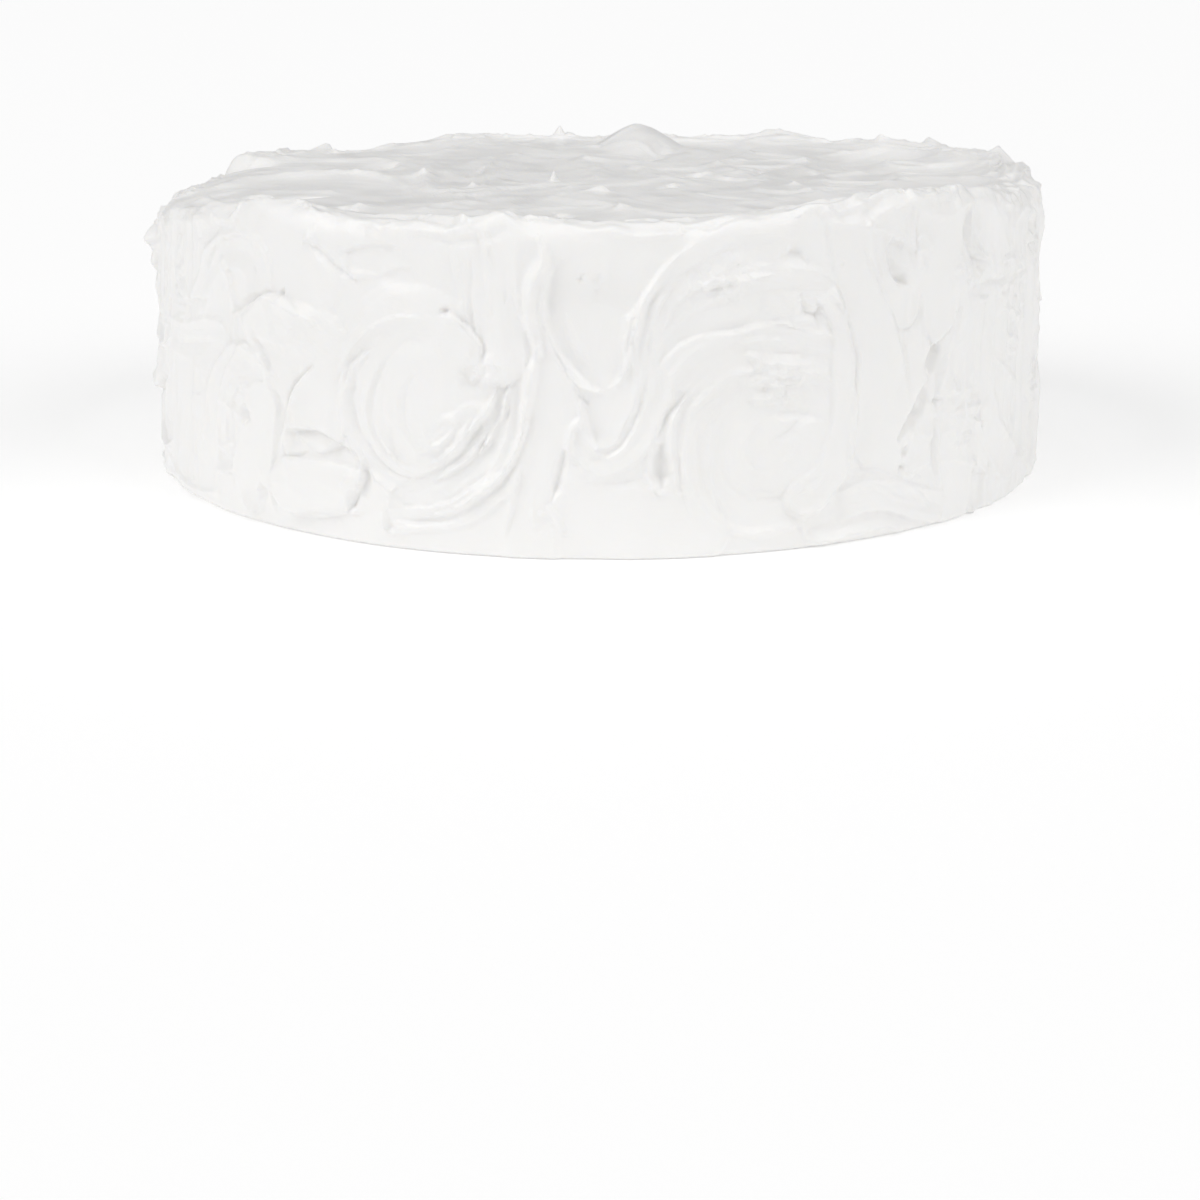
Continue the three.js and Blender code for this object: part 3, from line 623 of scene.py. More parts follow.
# What shows on the front, in the side's chart: broad strokes first, the later ones over the earlier, then
# the thin edges, ridges, cracks and torn places that lie on them.
FRONT_LAYERS = (
    *(
        Stroke(((x, 0), (x, 92)), (width, width), lift, 0.1, (0, 0), comb, kept, 10)
        for x, width, lift, comb, kept in UNDERCOAT
    ),

    # The broad strokes.
    Stroke(((-150, 4), (-149, 50), (-147, 88)), (24, 20), 0.4, 0.5, (0.3, 0.3), 0.6),
    Stroke(((-164, 46), (-145, 46), (-122, 50)), (10, 12), 0.2, 0.3, (0.4, 0.2), 0.5, 0.4, 3),
    Stroke(((-94, 90), (-90, 78), (-82, 70)), (28, 22), 1.0, -0.3, (0.1, 0.2), 0.15, 0.25, 4),
    Stroke(
        ((-134, 58), (-126, 71), (-113, 76), (-102, 74), (-101, 67)),
        (8, 11), 0.4, 0.5, (0.5, 0.1), 0.3, 0.5, 2,
    ),
    Stroke(((-110, 55), (-98, 58), (-86, 57), (-76, 53)), (10, 16), 1.4, -0.5, (0.3, 0.1), 0.5, 0.4, 2.5),
    Stroke(((-124, 16), (-122, 32), (-113, 43), (-103, 43)), (12, 12), 0.7, 0.5, (0.6, 0.1), 0.5, 0.4, 1.6),
    Stroke(((-106, 4), (-104, 18), (-101, 34)), (20, 14), 0.8, 0.3, (0.2, 0.5), 0.25),
    Stroke(((-76, 54), (-77, 42), (-78, 34)), (14, 20), 1.3, -0.2, (0.2, 0.2), 0.15),
    Stroke(((-62, 15), (-74, 16), (-88, 14)), (12, 16), 1.3, -0.8, (0.2, 0.2), 0.2),
    Stroke(((-66, 42), (-63, 56), (-52, 62), (-42, 58)), (10, 20), 1.2, -0.4, (0.2, 0.1), 0.2, 0.25, 4),
    Stroke(arc(-46, 40, 17, 75, 255), (14, 20), 0.9, 0.9, (0.3, 0.5), 1, 0.4),
    Stroke(((-52, 62), (-47, 48), (-43, 32)), (24, 24), 1.0, -0.3, (0, 0), 0.12, 0.35, 12),
    Stroke(((-22, 50), (-25, 36), (-34, 22), (-50, 13)), (12, 12), 0.3, 0.9, (0.9, 0.1), 0.9, 0.3),
    Stroke(((-18, 48), (-22, 28), (-34, 13), (-56, 8)), (8, 7), 0.7, 0.4, (0.4, 0.2), 0.6, 0.3),
    Stroke(((-29, 87), (-28, 72), (-26, 54)), (16, 16), 0.7, 0.1, (0.1, 0.2), 0.8, 0.3),
    Stroke(((-70, 77), (-60, 77), (-50, 75)), (7, 8), 0.2, 0.1, (0.1, 0.1), 0.2, 0.3, 3),
    Stroke(((14, 56), (10, 38), (3, 29), (-4, 32)), (14, 10), 0.5, 0.4, (0.6, 0.5), 0.4, 0.4),
    Stroke(((-2, 8), (10, 9), (24, 8)), (22, 20), 0.7, 0, (0.1, 0.1), 0.15, 0.1),
    Stroke(((3, 56), (2, 44), (0, 35)), (18, 10), 0.0, 0.8, (0.4, 0.4), 0.15),
    Stroke(((2, 78), (-2, 68), (-2, 60), (-1, 53)), (30, 15), -0.6, 0.9, (0.5, 0.7), 0.06, 0.1),
    Stroke(((-14, 54), (-13, 36), (-16, 20), (-18, 3)), (6, 14), 0.7, 0.2, (0.1, 0.2), 0.3, 0.4, 4),
    Stroke(((12, 42), (12, 60), (20, 74), (38, 80), (58, 78)), (5, 16), 0.8, 0.4, (0.3, 0.2), 1, 0.4),
    Stroke(((16, 48), (22, 58), (38, 66), (56, 66)), (8, 18), 0.6, 0.4, (0.3, 0.1), 1, 0.4),
    Stroke(((18, 44), (28, 53), (44, 55), (62, 50)), (8, 16), 0.6, 0.5, (0.5, 0.1), 1, 0.4),
    Stroke(arc(44, 29, 15, 100, 300), (16, 18), 0.6, 0.6, (0.2, 0.6), 0.8, 0.3),
    Stroke(((34, 24), (44, 28), (54, 30)), (22, 22), 0.9, -0.3, (0, 0), 0.12, 0.35, 10),
    Stroke(((60, 70), (66, 58), (66, 40), (63, 22), (54, 14)), (6, 10), 1.2, -0.3, (1.0, 0.2), 0.25, 0.3),
    Stroke(((66, 88), (72, 70), (77, 50), (78, 28)), (12, 18), 0.9, -0.1, (0.2, 0.1), 0.12, 0.2),
    Stroke(((90, 50), (86, 38), (82, 24)), (12, 14), 0.7, 0.1, (0.2, 0.2), 0.2, 0.3),
    Stroke(((102, 90), (101, 72), (104, 60)), (22, 20), 1.0, 0.0, (0.1, 0.2), 0.15, 0.2),
    Stroke(((116, 66), (112, 48), (108, 30), (108, 8)), (16, 18), 0.7, 0.1, (0.3, 0.3), 0.8, 0.4, 1.4),
    Stroke(((64, 10), (80, 12), (98, 6)), (9, 10), 0.8, 0.2, (0.4, 0.2), 0.8, 0.3),
    Stroke(((139, 90), (141, 60), (141, 30), (143, 4)), (30, 28), 0.5, 0.1, (0.3, 0.3), 0.9, 0.45, 2),
    Stroke(((131, 56), (136, 44), (154, 38)), (8, 12), 0.3, 0.6, (0.3, 0.4), 0.4, 0.4, 2),
    Stroke(((153, 82), (155, 54), (151, 18)), (14, 17), 0.4, 0.9, (0.6, 0.4), 0.9, 0.35, 1.4),
    Stroke(((124, 34), (128, 22), (138, 12)), (9, 12), 0.5, 0.5, (0.4, 0.2), 0.6, 0.4, 1.6),

    # Edges, ridges and cracks of the left end.
    Lip(((-154, 56), (-140, 59), (-122, 62)), 0.7, 4),
    Lip(((-156, 43), (-140, 47), (-118, 50)), 0.5, 4),
    Lip(((-133, 61), (-124, 75), (-110, 80), (-99, 76), (-99, 69)), 0.5, 3),
    Lip(((-79, 58), (-88, 64), (-98, 65), (-112, 59)), 1.8, 5),
    Crease(((-113, 59), (-107, 61), (-100, 64.5)), -2.4, 1.8),
    Crease(((-91, 66.5), (-90, 66)), -1.2, 1.2),
    Crease(((-94, 64), (-84, 62), (-77, 58)), 0.7, 0.8),
    Lip(((-91, 41), (-97, 46), (-104, 57)), 0.8, 4),
    Crease(((-97, 40), (-93, 37), (-92, 32)), -0.8, 1.4),
    Lip(((-80, 49), (-87, 41), (-91, 28), (-90, 22)), 1.6, 5),
    Crease(((-80, 49), (-87, 41), (-91, 28), (-90, 22)), -1.4, 0.9),
    Crease(((-90, 22), (-86, 21.5), (-82, 24)), -1.2, 0.9),
    Lip(((-64, 24.5), (-70, 27), (-79, 30.5), (-89, 30)), -1.5, 4),
    Crease(((-88, 29), (-77, 29), (-66, 23.5)), -0.8, 1.3),
    Lip(((-64, 25), (-64.5, 18), (-68, 12), (-69.5, 8)), -1.6, 3),
    Crease(((-66, 17), (-68, 12), (-69.5, 9)), -1.4, 1.1),
    Lip(((-69, 9), (-80, 6), (-90, 5)), -0.9, 3),
    Crease(((-101, 12), (-100, 8)), -1.4, 2),
    Crease(((-108, 34), (-108.5, 28)), -1.8, 1.6),
    Lip(((-100, 43), (-107, 51), (-115, 45), (-122, 32), (-124, 22)), 0.8, 3),

    # Those of the left swirl.
    Lip(((-73, 40), (-71, 51), (-64, 63), (-52, 70)), -0.35, 4),
    Lip(((-69, 42), (-68, 49), (-60, 55.5)), -0.7, 3),
    Crease(((-62, 53), (-66.5, 46.5), (-67, 38), (-63.5, 28.5), (-54, 21.5), (-45.5, 21)), -0.6, 0.9),
    Crease(((-64, 53), (-68.3, 46.5), (-68.8, 38), (-65, 28), (-55, 20)), 0.4, 0.9),
    Crease(((-51.5, 57.5), (-57.5, 51), (-61.5, 41), (-60.5, 31), (-53.5, 25), (-43, 24)), -0.5, 0.8),
    Crease(((-59.5, 51), (-63.3, 41), (-62, 31)), 0.3, 0.8),
    Crease(((-46.5, 52), (-51.5, 44), (-51, 34.5), (-45.5, 28), (-38, 26)), -0.35, 0.8),
    Crease(((-72, 40), (-71, 47.5), (-64.5, 54)), -0.5, 1.0),
    Lip(((-56.5, 31), (-54, 25), (-47, 22)), -0.4, 3),
    Crease(((-42, 36), (-39, 38), (-36, 36)), 0.7, 0.8),
    Crease(((-47, 36), (-44, 31), (-38, 29)), 0.4, 0.9),
    Crease(((-35.5, 49), (-33, 46), (-30.5, 48)), -1.2, 1.6),
    Lip(((-42, 67), (-35, 62), (-31, 56), (-32, 50)), -1.2, 2.5),
    Crease(((-41.5, 66.5), (-40, 65)), -1.2, 1.1),
    Crease(((-22.5, 47), (-25, 39), (-31, 28)), 2.2, 0.9),
    Crease(((-26, 46), (-29, 40), (-35, 32)), 1.7, 0.9),
    Crease(((-24, 43), (-27, 35), (-31, 30)), -1.2, 1.0),
    Crease(((-30.5, 37), (-34, 31)), -1.2, 1.3),
    Crease(((-33, 38), (-37, 30), (-43, 25)), 1.3, 0.9),
    Crease(((-29, 34), (-34, 27), (-43, 20)), 1.2, 0.9),
    Crease(((-36, 38), (-41, 31), (-48, 27)), 0.7, 0.8),
    Crease(((-18, 54), (-18.5, 44), (-20, 33), (-25, 23), (-35, 14), (-50, 9)), 1.6, 1.0),
    Crease(((-25, 26), (-31, 19), (-42, 13)), 0.6, 0.7),
    Crease(((-28, 24), (-36, 17), (-46, 13)), -0.5, 0.8),
    Lip(((-59, 4), (-56, 8), (-46, 8), (-34, 11)), -0.6, 2.5),
    Crease(((-58, 5), (-55, 8)), -1.2, 1.2),
    Lip(((-26, 4), (-23, 12), (-20, 27)), 0.8, 3),

    # The spine, and what lies beside it.
    Crease(((-16, 84), (-15, 79), (-17.5, 72), (-17, 64), (-14.5, 54)), 2.6, 1.9),
    Lip(((-22, 76), (-21, 68), (-16.5, 57)), 0.6, 2.5),
    Crease(((-14.5, 58), (-16.5, 50), (-18, 42), (-20, 32)), 1.6, 1.4),
    Crease(((-34, 86), (-30, 84), (-28, 79)), 1.0, 0.9),
    Crease(((-33, 78), (-34, 68), (-33, 60)), -0.5, 0.7),
    Crease(((-38, 82), (-37, 72)), 0.5, 0.7),
    Crease(((-29, 78), (-29, 62)), 0.4, 0.7),
    Crease(((-82, 80), (-79, 79.5), (-73, 75), (-66, 71)), -1.0, 1.0),
    Crease(((-82, 81), (-80, 82), (-79, 79)), 0.8, 0.8),
    Lip(((-50, 81), (-62, 81), (-74, 78)), -0.6, 2.5),
    Lip(((-72, 71), (-60, 73), (-50, 76), (-48, 71)), 0.35, 2.5),

    # The tongue in the middle.
    Lip(((-6, 81), (-12, 77), (-14, 68), (-12, 58), (-5, 48), (0, 45), (5, 49), (8, 58)), -0.9, 3),
    Crease(((4, 46), (7.5, 54), (9.5, 63), (14, 73), (20, 80)), 0.6, 0.8),
    Crease(((-9, 66), (-7, 59), (-3, 51)), 0.6, 0.9),
    Crease(((-5.5, 75), (-4.5, 74.5)), -0.5, 1.0),
    Crease(((-1, 73), (0, 76)), -0.5, 0.8),
    Lip(((-10, 52), (-5, 41), (-2, 31), (1, 28), (6, 31), (11, 42), (12.5, 52)), -0.8, 3),
    Crease(((13, 56), (14.5, 65), (19, 73)), 0.8, 0.7),
    Crease(((10, 47), (12, 60), (16, 70), (22, 77), (34, 82)), 0.4, 0.8),
    Crease(((-6, 44), (-3, 41)), -0.6, 0.7),
    Crease(((-5, 40), (-8, 31), (-6, 26)), 1.0, 0.8),
    Crease(((-9, 29), (-10.5, 23), (-13, 16)), -1.6, 1.3),
    Crease(((-14, 17), (-12.5, 12), (-9, 7)), 1.0, 0.8),
    Crease(((-18, 16), (-17, 8)), 0.6, 0.7),
    Crease(((0, 21.5), (6, 21), (12, 22)), -0.5, 0.9),
    Crease(((-3, 27), (3, 27.5)), -0.5, 0.9),

    # The pocket at the tongue's foot, and the right swirl.
    Crease(((15.7, 30.5), (15.1, 25), (15.4, 19)), -2.6, 2.6),
    Crease(((13, 32), (12.3, 24), (14, 17.5), (17, 17)), 0.8, 0.8),
    Crease(((22, 44), (18.5, 37), (18, 30), (19, 22), (20, 16)), 1.1, 0.9),
    Crease(((14, 33), (18, 40), (22, 45)), -0.8, 1.1),
    Lip(((31, 45), (24, 38), (21, 28), (21, 18), (26, 6)), 0.4, 5),
    Crease(((25, 36), (24.5, 27), (26, 18)), -0.4, 1.0),
    Crease(((29, 40), (27.5, 30), (28, 20), (33, 10)), 0.6, 0.8),
    Lip(((13, 50), (18, 56), (26, 60), (42, 61)), -0.9, 3),
    Crease(((30, 57), (44, 58), (58, 55)), 0.4, 0.7),
    Crease(((32, 47), (44, 51), (60, 50)), 0.4, 0.7),
    Crease(((46, 54), (54, 53.5), (61, 52)), -0.7, 1.0),
    Crease(((36, 55), (40, 53), (41, 49)), 0.9, 1.1),
    Crease(((40, 46), (44, 47), (48, 43)), 0.7, 1.0),
    Crease(((38, 42), (43, 42), (47, 40)), 0.6, 1.0),
    Crease(((45, 38), (52, 38), (59, 36)), -0.9, 1.6),
    Crease(((45, 31), (50, 33), (56, 38)), -0.6, 1.1),
    Crease(((40, 18), (44, 15), (50, 15)), -0.5, 0.8),
    Crease(((47, 78.5), (52, 78), (55, 76.5)), -1.5, 1.3),
    Crease(((54, 69), (55, 64.5), (58, 63), (58.5, 59.5)), -1.1, 0.8),
    Crease(((59.5, 66), (58, 63)), -0.9, 0.8),

    # The right end.
    Lip(((60, 69), (66, 64), (69.5, 54), (69.5, 42), (67, 33)), 0.9, 5),
    Crease(((67, 28), (66.5, 20), (62, 14.5)), -0.7, 0.9),
    Crease(((53, 15), (57, 17), (60, 20)), 0.7, 0.9),
    Lip(((57, 87), (60.5, 82), (62, 76)), 0.4, 4),
    Crease(((56, 86), (66, 88), (84, 93)), 1.2, 1.2),
    Crease(((58, 84), (70, 83), (82, 80)), 0.6, 0.9),
    Crease(((71, 79), (76, 74), (80, 66), (84, 58)), -0.8, 0.8),
    Lip(((92, 76), (82, 79), (81, 75), (84, 71), (90, 69)), -1.4, 3),
    Crease(((81, 76), (84, 71.5), (88, 69.5)), -1.1, 1.8),
    Crease(((91, 69), (92, 63), (89.5, 58), (84, 58)), -0.8, 0.8),
    Crease(((90, 68), (90.5, 63), (88.5, 59.5)), 0.6, 0.8),
    Crease(((84, 56), (86.5, 48), (88, 39)), -0.7, 0.9),
    Crease(((110, 61), (105, 55), (99, 52)), -0.9, 0.9),
    Crease(((100.5, 53), (97.5, 50), (95.5, 42)), -3.6, 1.7),
    Crease(((95.5, 43), (91, 34), (85, 27.5)), -3.2, 1.6),
    Crease(((87.5, 25), (86.5, 22)), -1.4, 1.0),
    Crease(((87, 20), (85, 18)), -1.1, 0.8),
    Lip(((85, 28), (92, 34), (96, 42), (100, 53), (108, 58)), 0.8, 4),
    Crease(((98, 36.5), (102, 36)), -1.2, 0.9),
    Crease(((102, 33), (99.5, 24), (100.5, 15), (102.5, 9)), 0.8, 0.8),
    Crease(((99, 30), (98, 23), (99, 15)), -0.6, 0.8),
    Crease(((84, 14.5), (90, 12.5), (97, 6)), 0.7, 0.9),
    Crease(((68, 20), (78, 20), (86, 16.5)), -0.5, 0.7),
    Crease(((66, 13), (76, 15), (88, 10)), 0.5, 0.7),
    Crease(((88, 89), (88.5, 86.5)), -1.6, 1.1),
    Lip(((126, 72), (119, 73), (113.5, 77), (116, 85)), -1.6, 3),
    Crease(((117, 84), (119, 79), (122, 74.5)), -1.6, 2.0),
    RoughPatch((111, 70), (9, 9), 0.8),
    RoughPatch((122, 64), (7, 6), 0.9),
    Crease(((116, 67), (122, 66), (134, 66)), -0.8, 0.9),
    Crease(((123, 27), (123.5, 25)), -1.2, 1.2),
    Crease(((107, 43), (110, 38)), -0.8, 0.9),
    Crease(((157, 75), (155, 72)), -1.2, 1.2),
    Crease(((-146, 75), (-144, 62)), 0.5, 0.8),
    Crease(((-158, 68), (-157, 55)), 0.5, 0.8),

    # Along the rim.
    Stroke(((48, 88), (66, 93), (90, 97), (124, 98)), (8, 10), 0.6, 0.5, (0.9, 0.5), 0.5, 0.4),
    Stroke(((20, 90), (40, 95), (62, 96)), (8, 8), 0.3, 0.5, (0.9, 0.3), 0.5, 0.4),
    Stroke(((70, 86), (84, 88), (104, 86)), (7, 9), 0.5, 0.3, (0.6, 0.4), 0.6, 0.4),
    Stroke(((-110, 92), (-86, 96), (-64, 91), (-40, 88)), (9, 8), 0.5, 0.5, (0.8, 0.5), 0.5, 0.4),
    Stroke(((-160, 88), (-138, 92), (-116, 88)), (8, 9), 0.4, 0.5, (0.8, 0.5), 0.5, 0.4),
    Stroke(((-34, 91), (-10, 94), (14, 91)), (6, 6), 0.2, 0.3, (0.4, 0.3), 0.6, 0.4, 2),
    Lip(((-120, 88), (-104, 93), (-92, 90), (-80, 87)), 0.9, 4),
    Crease(((-28, 88), (-22, 92), (-14, 91)), 1.6, 1.6),
    Crease(((-2, 89), (8, 92), (18, 90)), 1.0, 1.2),
    Crease(((52, 90), (70, 94), (96, 95)), 1.5, 1.0),
    Crease(((58, 85), (78, 88), (102, 90)), 1.3, 0.9),
    Crease(((84, 84), (104, 86), (122, 90)), 1.2, 1.0),
    Crease(((60, 96), (84, 100), (110, 99)), 1.4, 1.0),
    Crease(((86, 91), (98, 93), (112, 91)), -1.0, 1.2),
    Crease(((128, 50), (131, 41), (130, 31)), -0.9, 2.0),
    Crease(((145, 30), (143, 22)), -1.0, 1.8),
    Crease(((-48, 84), (-34, 82.5), (-20, 85)), -0.6, 0.9),
    Crease(((18, 85), (36, 87), (50, 87)), -0.6, 0.9),
    Crease(((-4, 86), (10, 84.5), (26, 85.5)), 0.5, 0.8),

    # Torn places.
    RoughPatch((98, 88), (16, 6), 0.9),
    RoughPatch((134, 88), (16, 8), 0.9),
    RoughPatch((-84, 90), (18, 5), 0.8),
    RoughPatch((-14, 90), (22, 4), 0.6),
    RoughPatch((32, 74), (13, 8), 1.1),
    RoughPatch((48, 47), (14, 10), 1.3),
    RoughPatch((50, 66), (10, 7), 0.8),
    RoughPatch((-30, 50), (10, 5), 0.9),
    RoughPatch((104, 42), (6, 9), 0.6),
    RoughPatch((118, 71), (14, 7), 0.8),
    RoughPatch((-90, 55), (14, 6), 0.6),
    RoughPatch((140, 44), (10, 9), 0.8),
    RoughPatch((112, 30), (12, 14), 0.8),
    RoughPatch((136, 64), (10, 14), 1.0),
    RoughPatch((150, 60), (12, 20), 0.9),
    RoughPatch((-150, 62), (8, 24), 0.8),
    RoughPatch((92, 76), (8, 8), 0.8),
    RoughPatch((-112, 40), (9, 8), 0.7),
    RoughPatch((-68, 17), (4, 7), 0.9),
    RoughPatch((-14, 10), (8, 7), 0.6),
    RoughPatch((-40, 16), (12, 5), 0.5),

    # Flakes a quarter of the way round, on both sides.
    Crease(((-193, 76), (-189, 57)), 3.8, 2.8),
    Crease(((-190, 50), (-186, 42)), 1.2, 3),
    Crease(((183, 84), (184, 68)), 1.0, 4),
    Crease(((183, 54), (185, 48)), 0.8, 3.5),
)

# What shows on the top, in the top's chart, over its random strokes.
TOP_LAYERS = (
    Stroke(((-90, 66), (-72, 82), (-60, 108)), (34, 30), 0.3, 0.9, (1.2, 1.0), 0.4, 0.2),
    Stroke(((-118, 26), (-98, 40), (-76, 34), (-60, 6)), (26, 26), 0.0, 1.1, (1.6, 0.4), 0.4, 0.2),
    Stroke(
        ((-104, -44), (-94, -22), (-78, -14), (-64, -32), (-58, -64)),
        (32, 36), -0.5, 1.0, (1.2, 0.3), 0.3, 0.15,
    ),
    Stroke(((-60, -100), (-36, -112), (-8, -100)), (26, 30), -0.2, 1.0, (0.8, 0.8), 0.4, 0.2),
    Stroke(((-46, 44), (-44, 8), (-40, -34)), (20, 24), 0.4, 0.8, (0.6, 1.4), 0.6, 0.2),
    Stroke(((-14, 74), (-20, 34), (-16, -10)), (24, 28), -0.2, 1.2, (1.2, 0.8), 0.5, 0.2),
    Stroke(((6, -30), (12, -64), (28, -92)), (28, 36), 0.7, 0.6, (0.9, 0.9), 0.25, 0.15),
    Stroke(((46, 84), (34, 52), (22, 26)), (20, 22), 0.6, 0.9, (1.4, 0.6), 0.5, 0.2),
    Stroke(((118, 56), (92, 62), (80, 40), (90, 18), (112, 16)), (24, 26), -0.9, 1.0, (0.4, 1.3), 0.35, 0.2),
    Stroke(((54, 26), (60, -4), (56, -40)), (18, 22), 0.5, 0.8, (1.2, 0.5), 0.6, 0.2),
    Stroke(((98, -50), (74, -60), (50, -88)), (22, 26), 0.5, 0.8, (1.0, 1.2), 0.5, 0.2),
    Lip(((-116, -34), (-100, -8), (-80, 4), (-66, -8), (-59, -30), (-53, -56)), 2.4, 9),
    Crease(((-112, -26), (-96, -3), (-80, 5), (-66, -7), (-59, -28), (-54, -48)), 1.6, 1.6),
    Lip(((-84, 18), (-72, 40), (-58, 66)), 1.6, 9),
    Crease(((-68, 42), (-60, 12), (-50, -28)), 1.4, 2.0),
    Crease(((-74, 22), (-70, 32), (-66, 42)), -1.6, 2.4),
    Crease(((-42, -6), (-39, 8), (-37, 24)), -1.8, 1.5),
    Crease(((-34, 50), (-36, 10), (-33, -48)), 1.6, 1.2),
    Crease(((-92, -68), (-84, -62), (-78, -60)), -2.4, 1.8),
    Crease(((-70, -100), (-67, -90)), -3.0, 2.2),
    Crease(((-64, -104), (-56, -114), (-44, -120)), 1.2, 1.4),
    Crease(((-26, -86), (-22, -98), (-18, -110)), 1.8, 2.0),
    Crease(((-12, -94), (-8, -104)), -2.0, 2.0),
    Crease(((16, 40), (18, 58), (22, 82)), -2.2, 4.0),
    Crease(((20, 36), (32, 70), (44, 90)), 1.6, 2.4),
    Crease(((16, -46), (24, -32)), -2.0, 1.8),
    Crease(((26, -8), (30, -2), (34, 10)), -1.6, 1.8),
    Crease(((30, -104), (44, -84), (56, -62), (62, -30)), 1.2, 1.6),
    Crease(((48, -2), (52, 16)), -1.6, 1.8),
    Crease(((56, 60), (60, 20), (58, -20)), 1.4, 1.8),
    Crease(((66, -8), (70, 8)), -1.4, 2.0),
    Lip(((116, 74), (88, 70), (78, 44), (84, 16), (108, 6)), -1.6, 8),
    Crease(((80, 22), (88, 10), (104, 8)), -1.2, 2.2),
    Crease(((74, -66), (80, -58), (84, -40)), -1.6, 1.8),
)

# How high the rim stands over the plain cake: angles round the cake, 0 at the front, and millimetres.
RIM_WAVE = (
    (-180, 0.2), (-168, 0.9), (-156, 2.2), (-147, 0.4), (-138, -2.6), (-131, -1.4), (-120, 0.8), (-113, 1.2),
    (-109.5, -4.6), (-95, -5.2), (-78, -4.4), (-64, -3.2), (-54, -0.6), (-46, 1.2), (-40, 2.2), (-34, 0.2),
    (-27, 0.3), (-18, 0.6), (-12, 2.0), (-7, 0.8), (2, 0.2), (9, 0.3), (17, 2.0), (26, 3.8), (36, 5.2),
    (45, 5.4), (54, 3.6), (64, 1.0), (76, 0.2), (88, 2.0), (106, 3.2), (130, 3.2), (141, 1.4), (150, 3.4),
    (158, 0.8), (168, 0.0), (180, 0.2),
)

RIM_TIPS = (
    RimTip(-406, 5.6, (3, 4)),
    RimTip(-409, 3.0, (5, 6)),
    RimTip(-362, 1.4, (8, 9)),
    RimTip(-313, 4.6, (2.5, 15)),
    RimTip(-102, 1.6, (10, 7)),
    RimTip(-83, 1.6, (5, 9)),
    RimTip(-25, 2.4, (9, 5)),
    RimTip(3, 1.4, (5, 7)),
    RimTip(56, 1.4, (8, 8)),
    RimTip(90, 1.8, (12, 6)),
    RimTip(124, 1.6, (7, 9)),
    RimTip(242, 3.6, (15, 2)),
    RimTip(256, 1.4, (5, 6)),
    RimTip(285, 3.6, (14, 2)),
    RimTip(356, 2.0, (9, 8)),
)

NAMED_PEAKS = (
    Peak(-38, -34, 1.8, 1.5, 100),
    Peak(-14, -14, 4.4, 1.0, 250),
    Peak(1, -52, 2.0, 1.8, 200),
    Peak(5, -92, 1.6, 1.8, 290),
    Peak(31, 2, 2.0, 2.4, 20),
    Peak(-66, -88, 1.4, 1.6, 20),
    Peak(58, -30, 1.6, 2.0, 100),
)


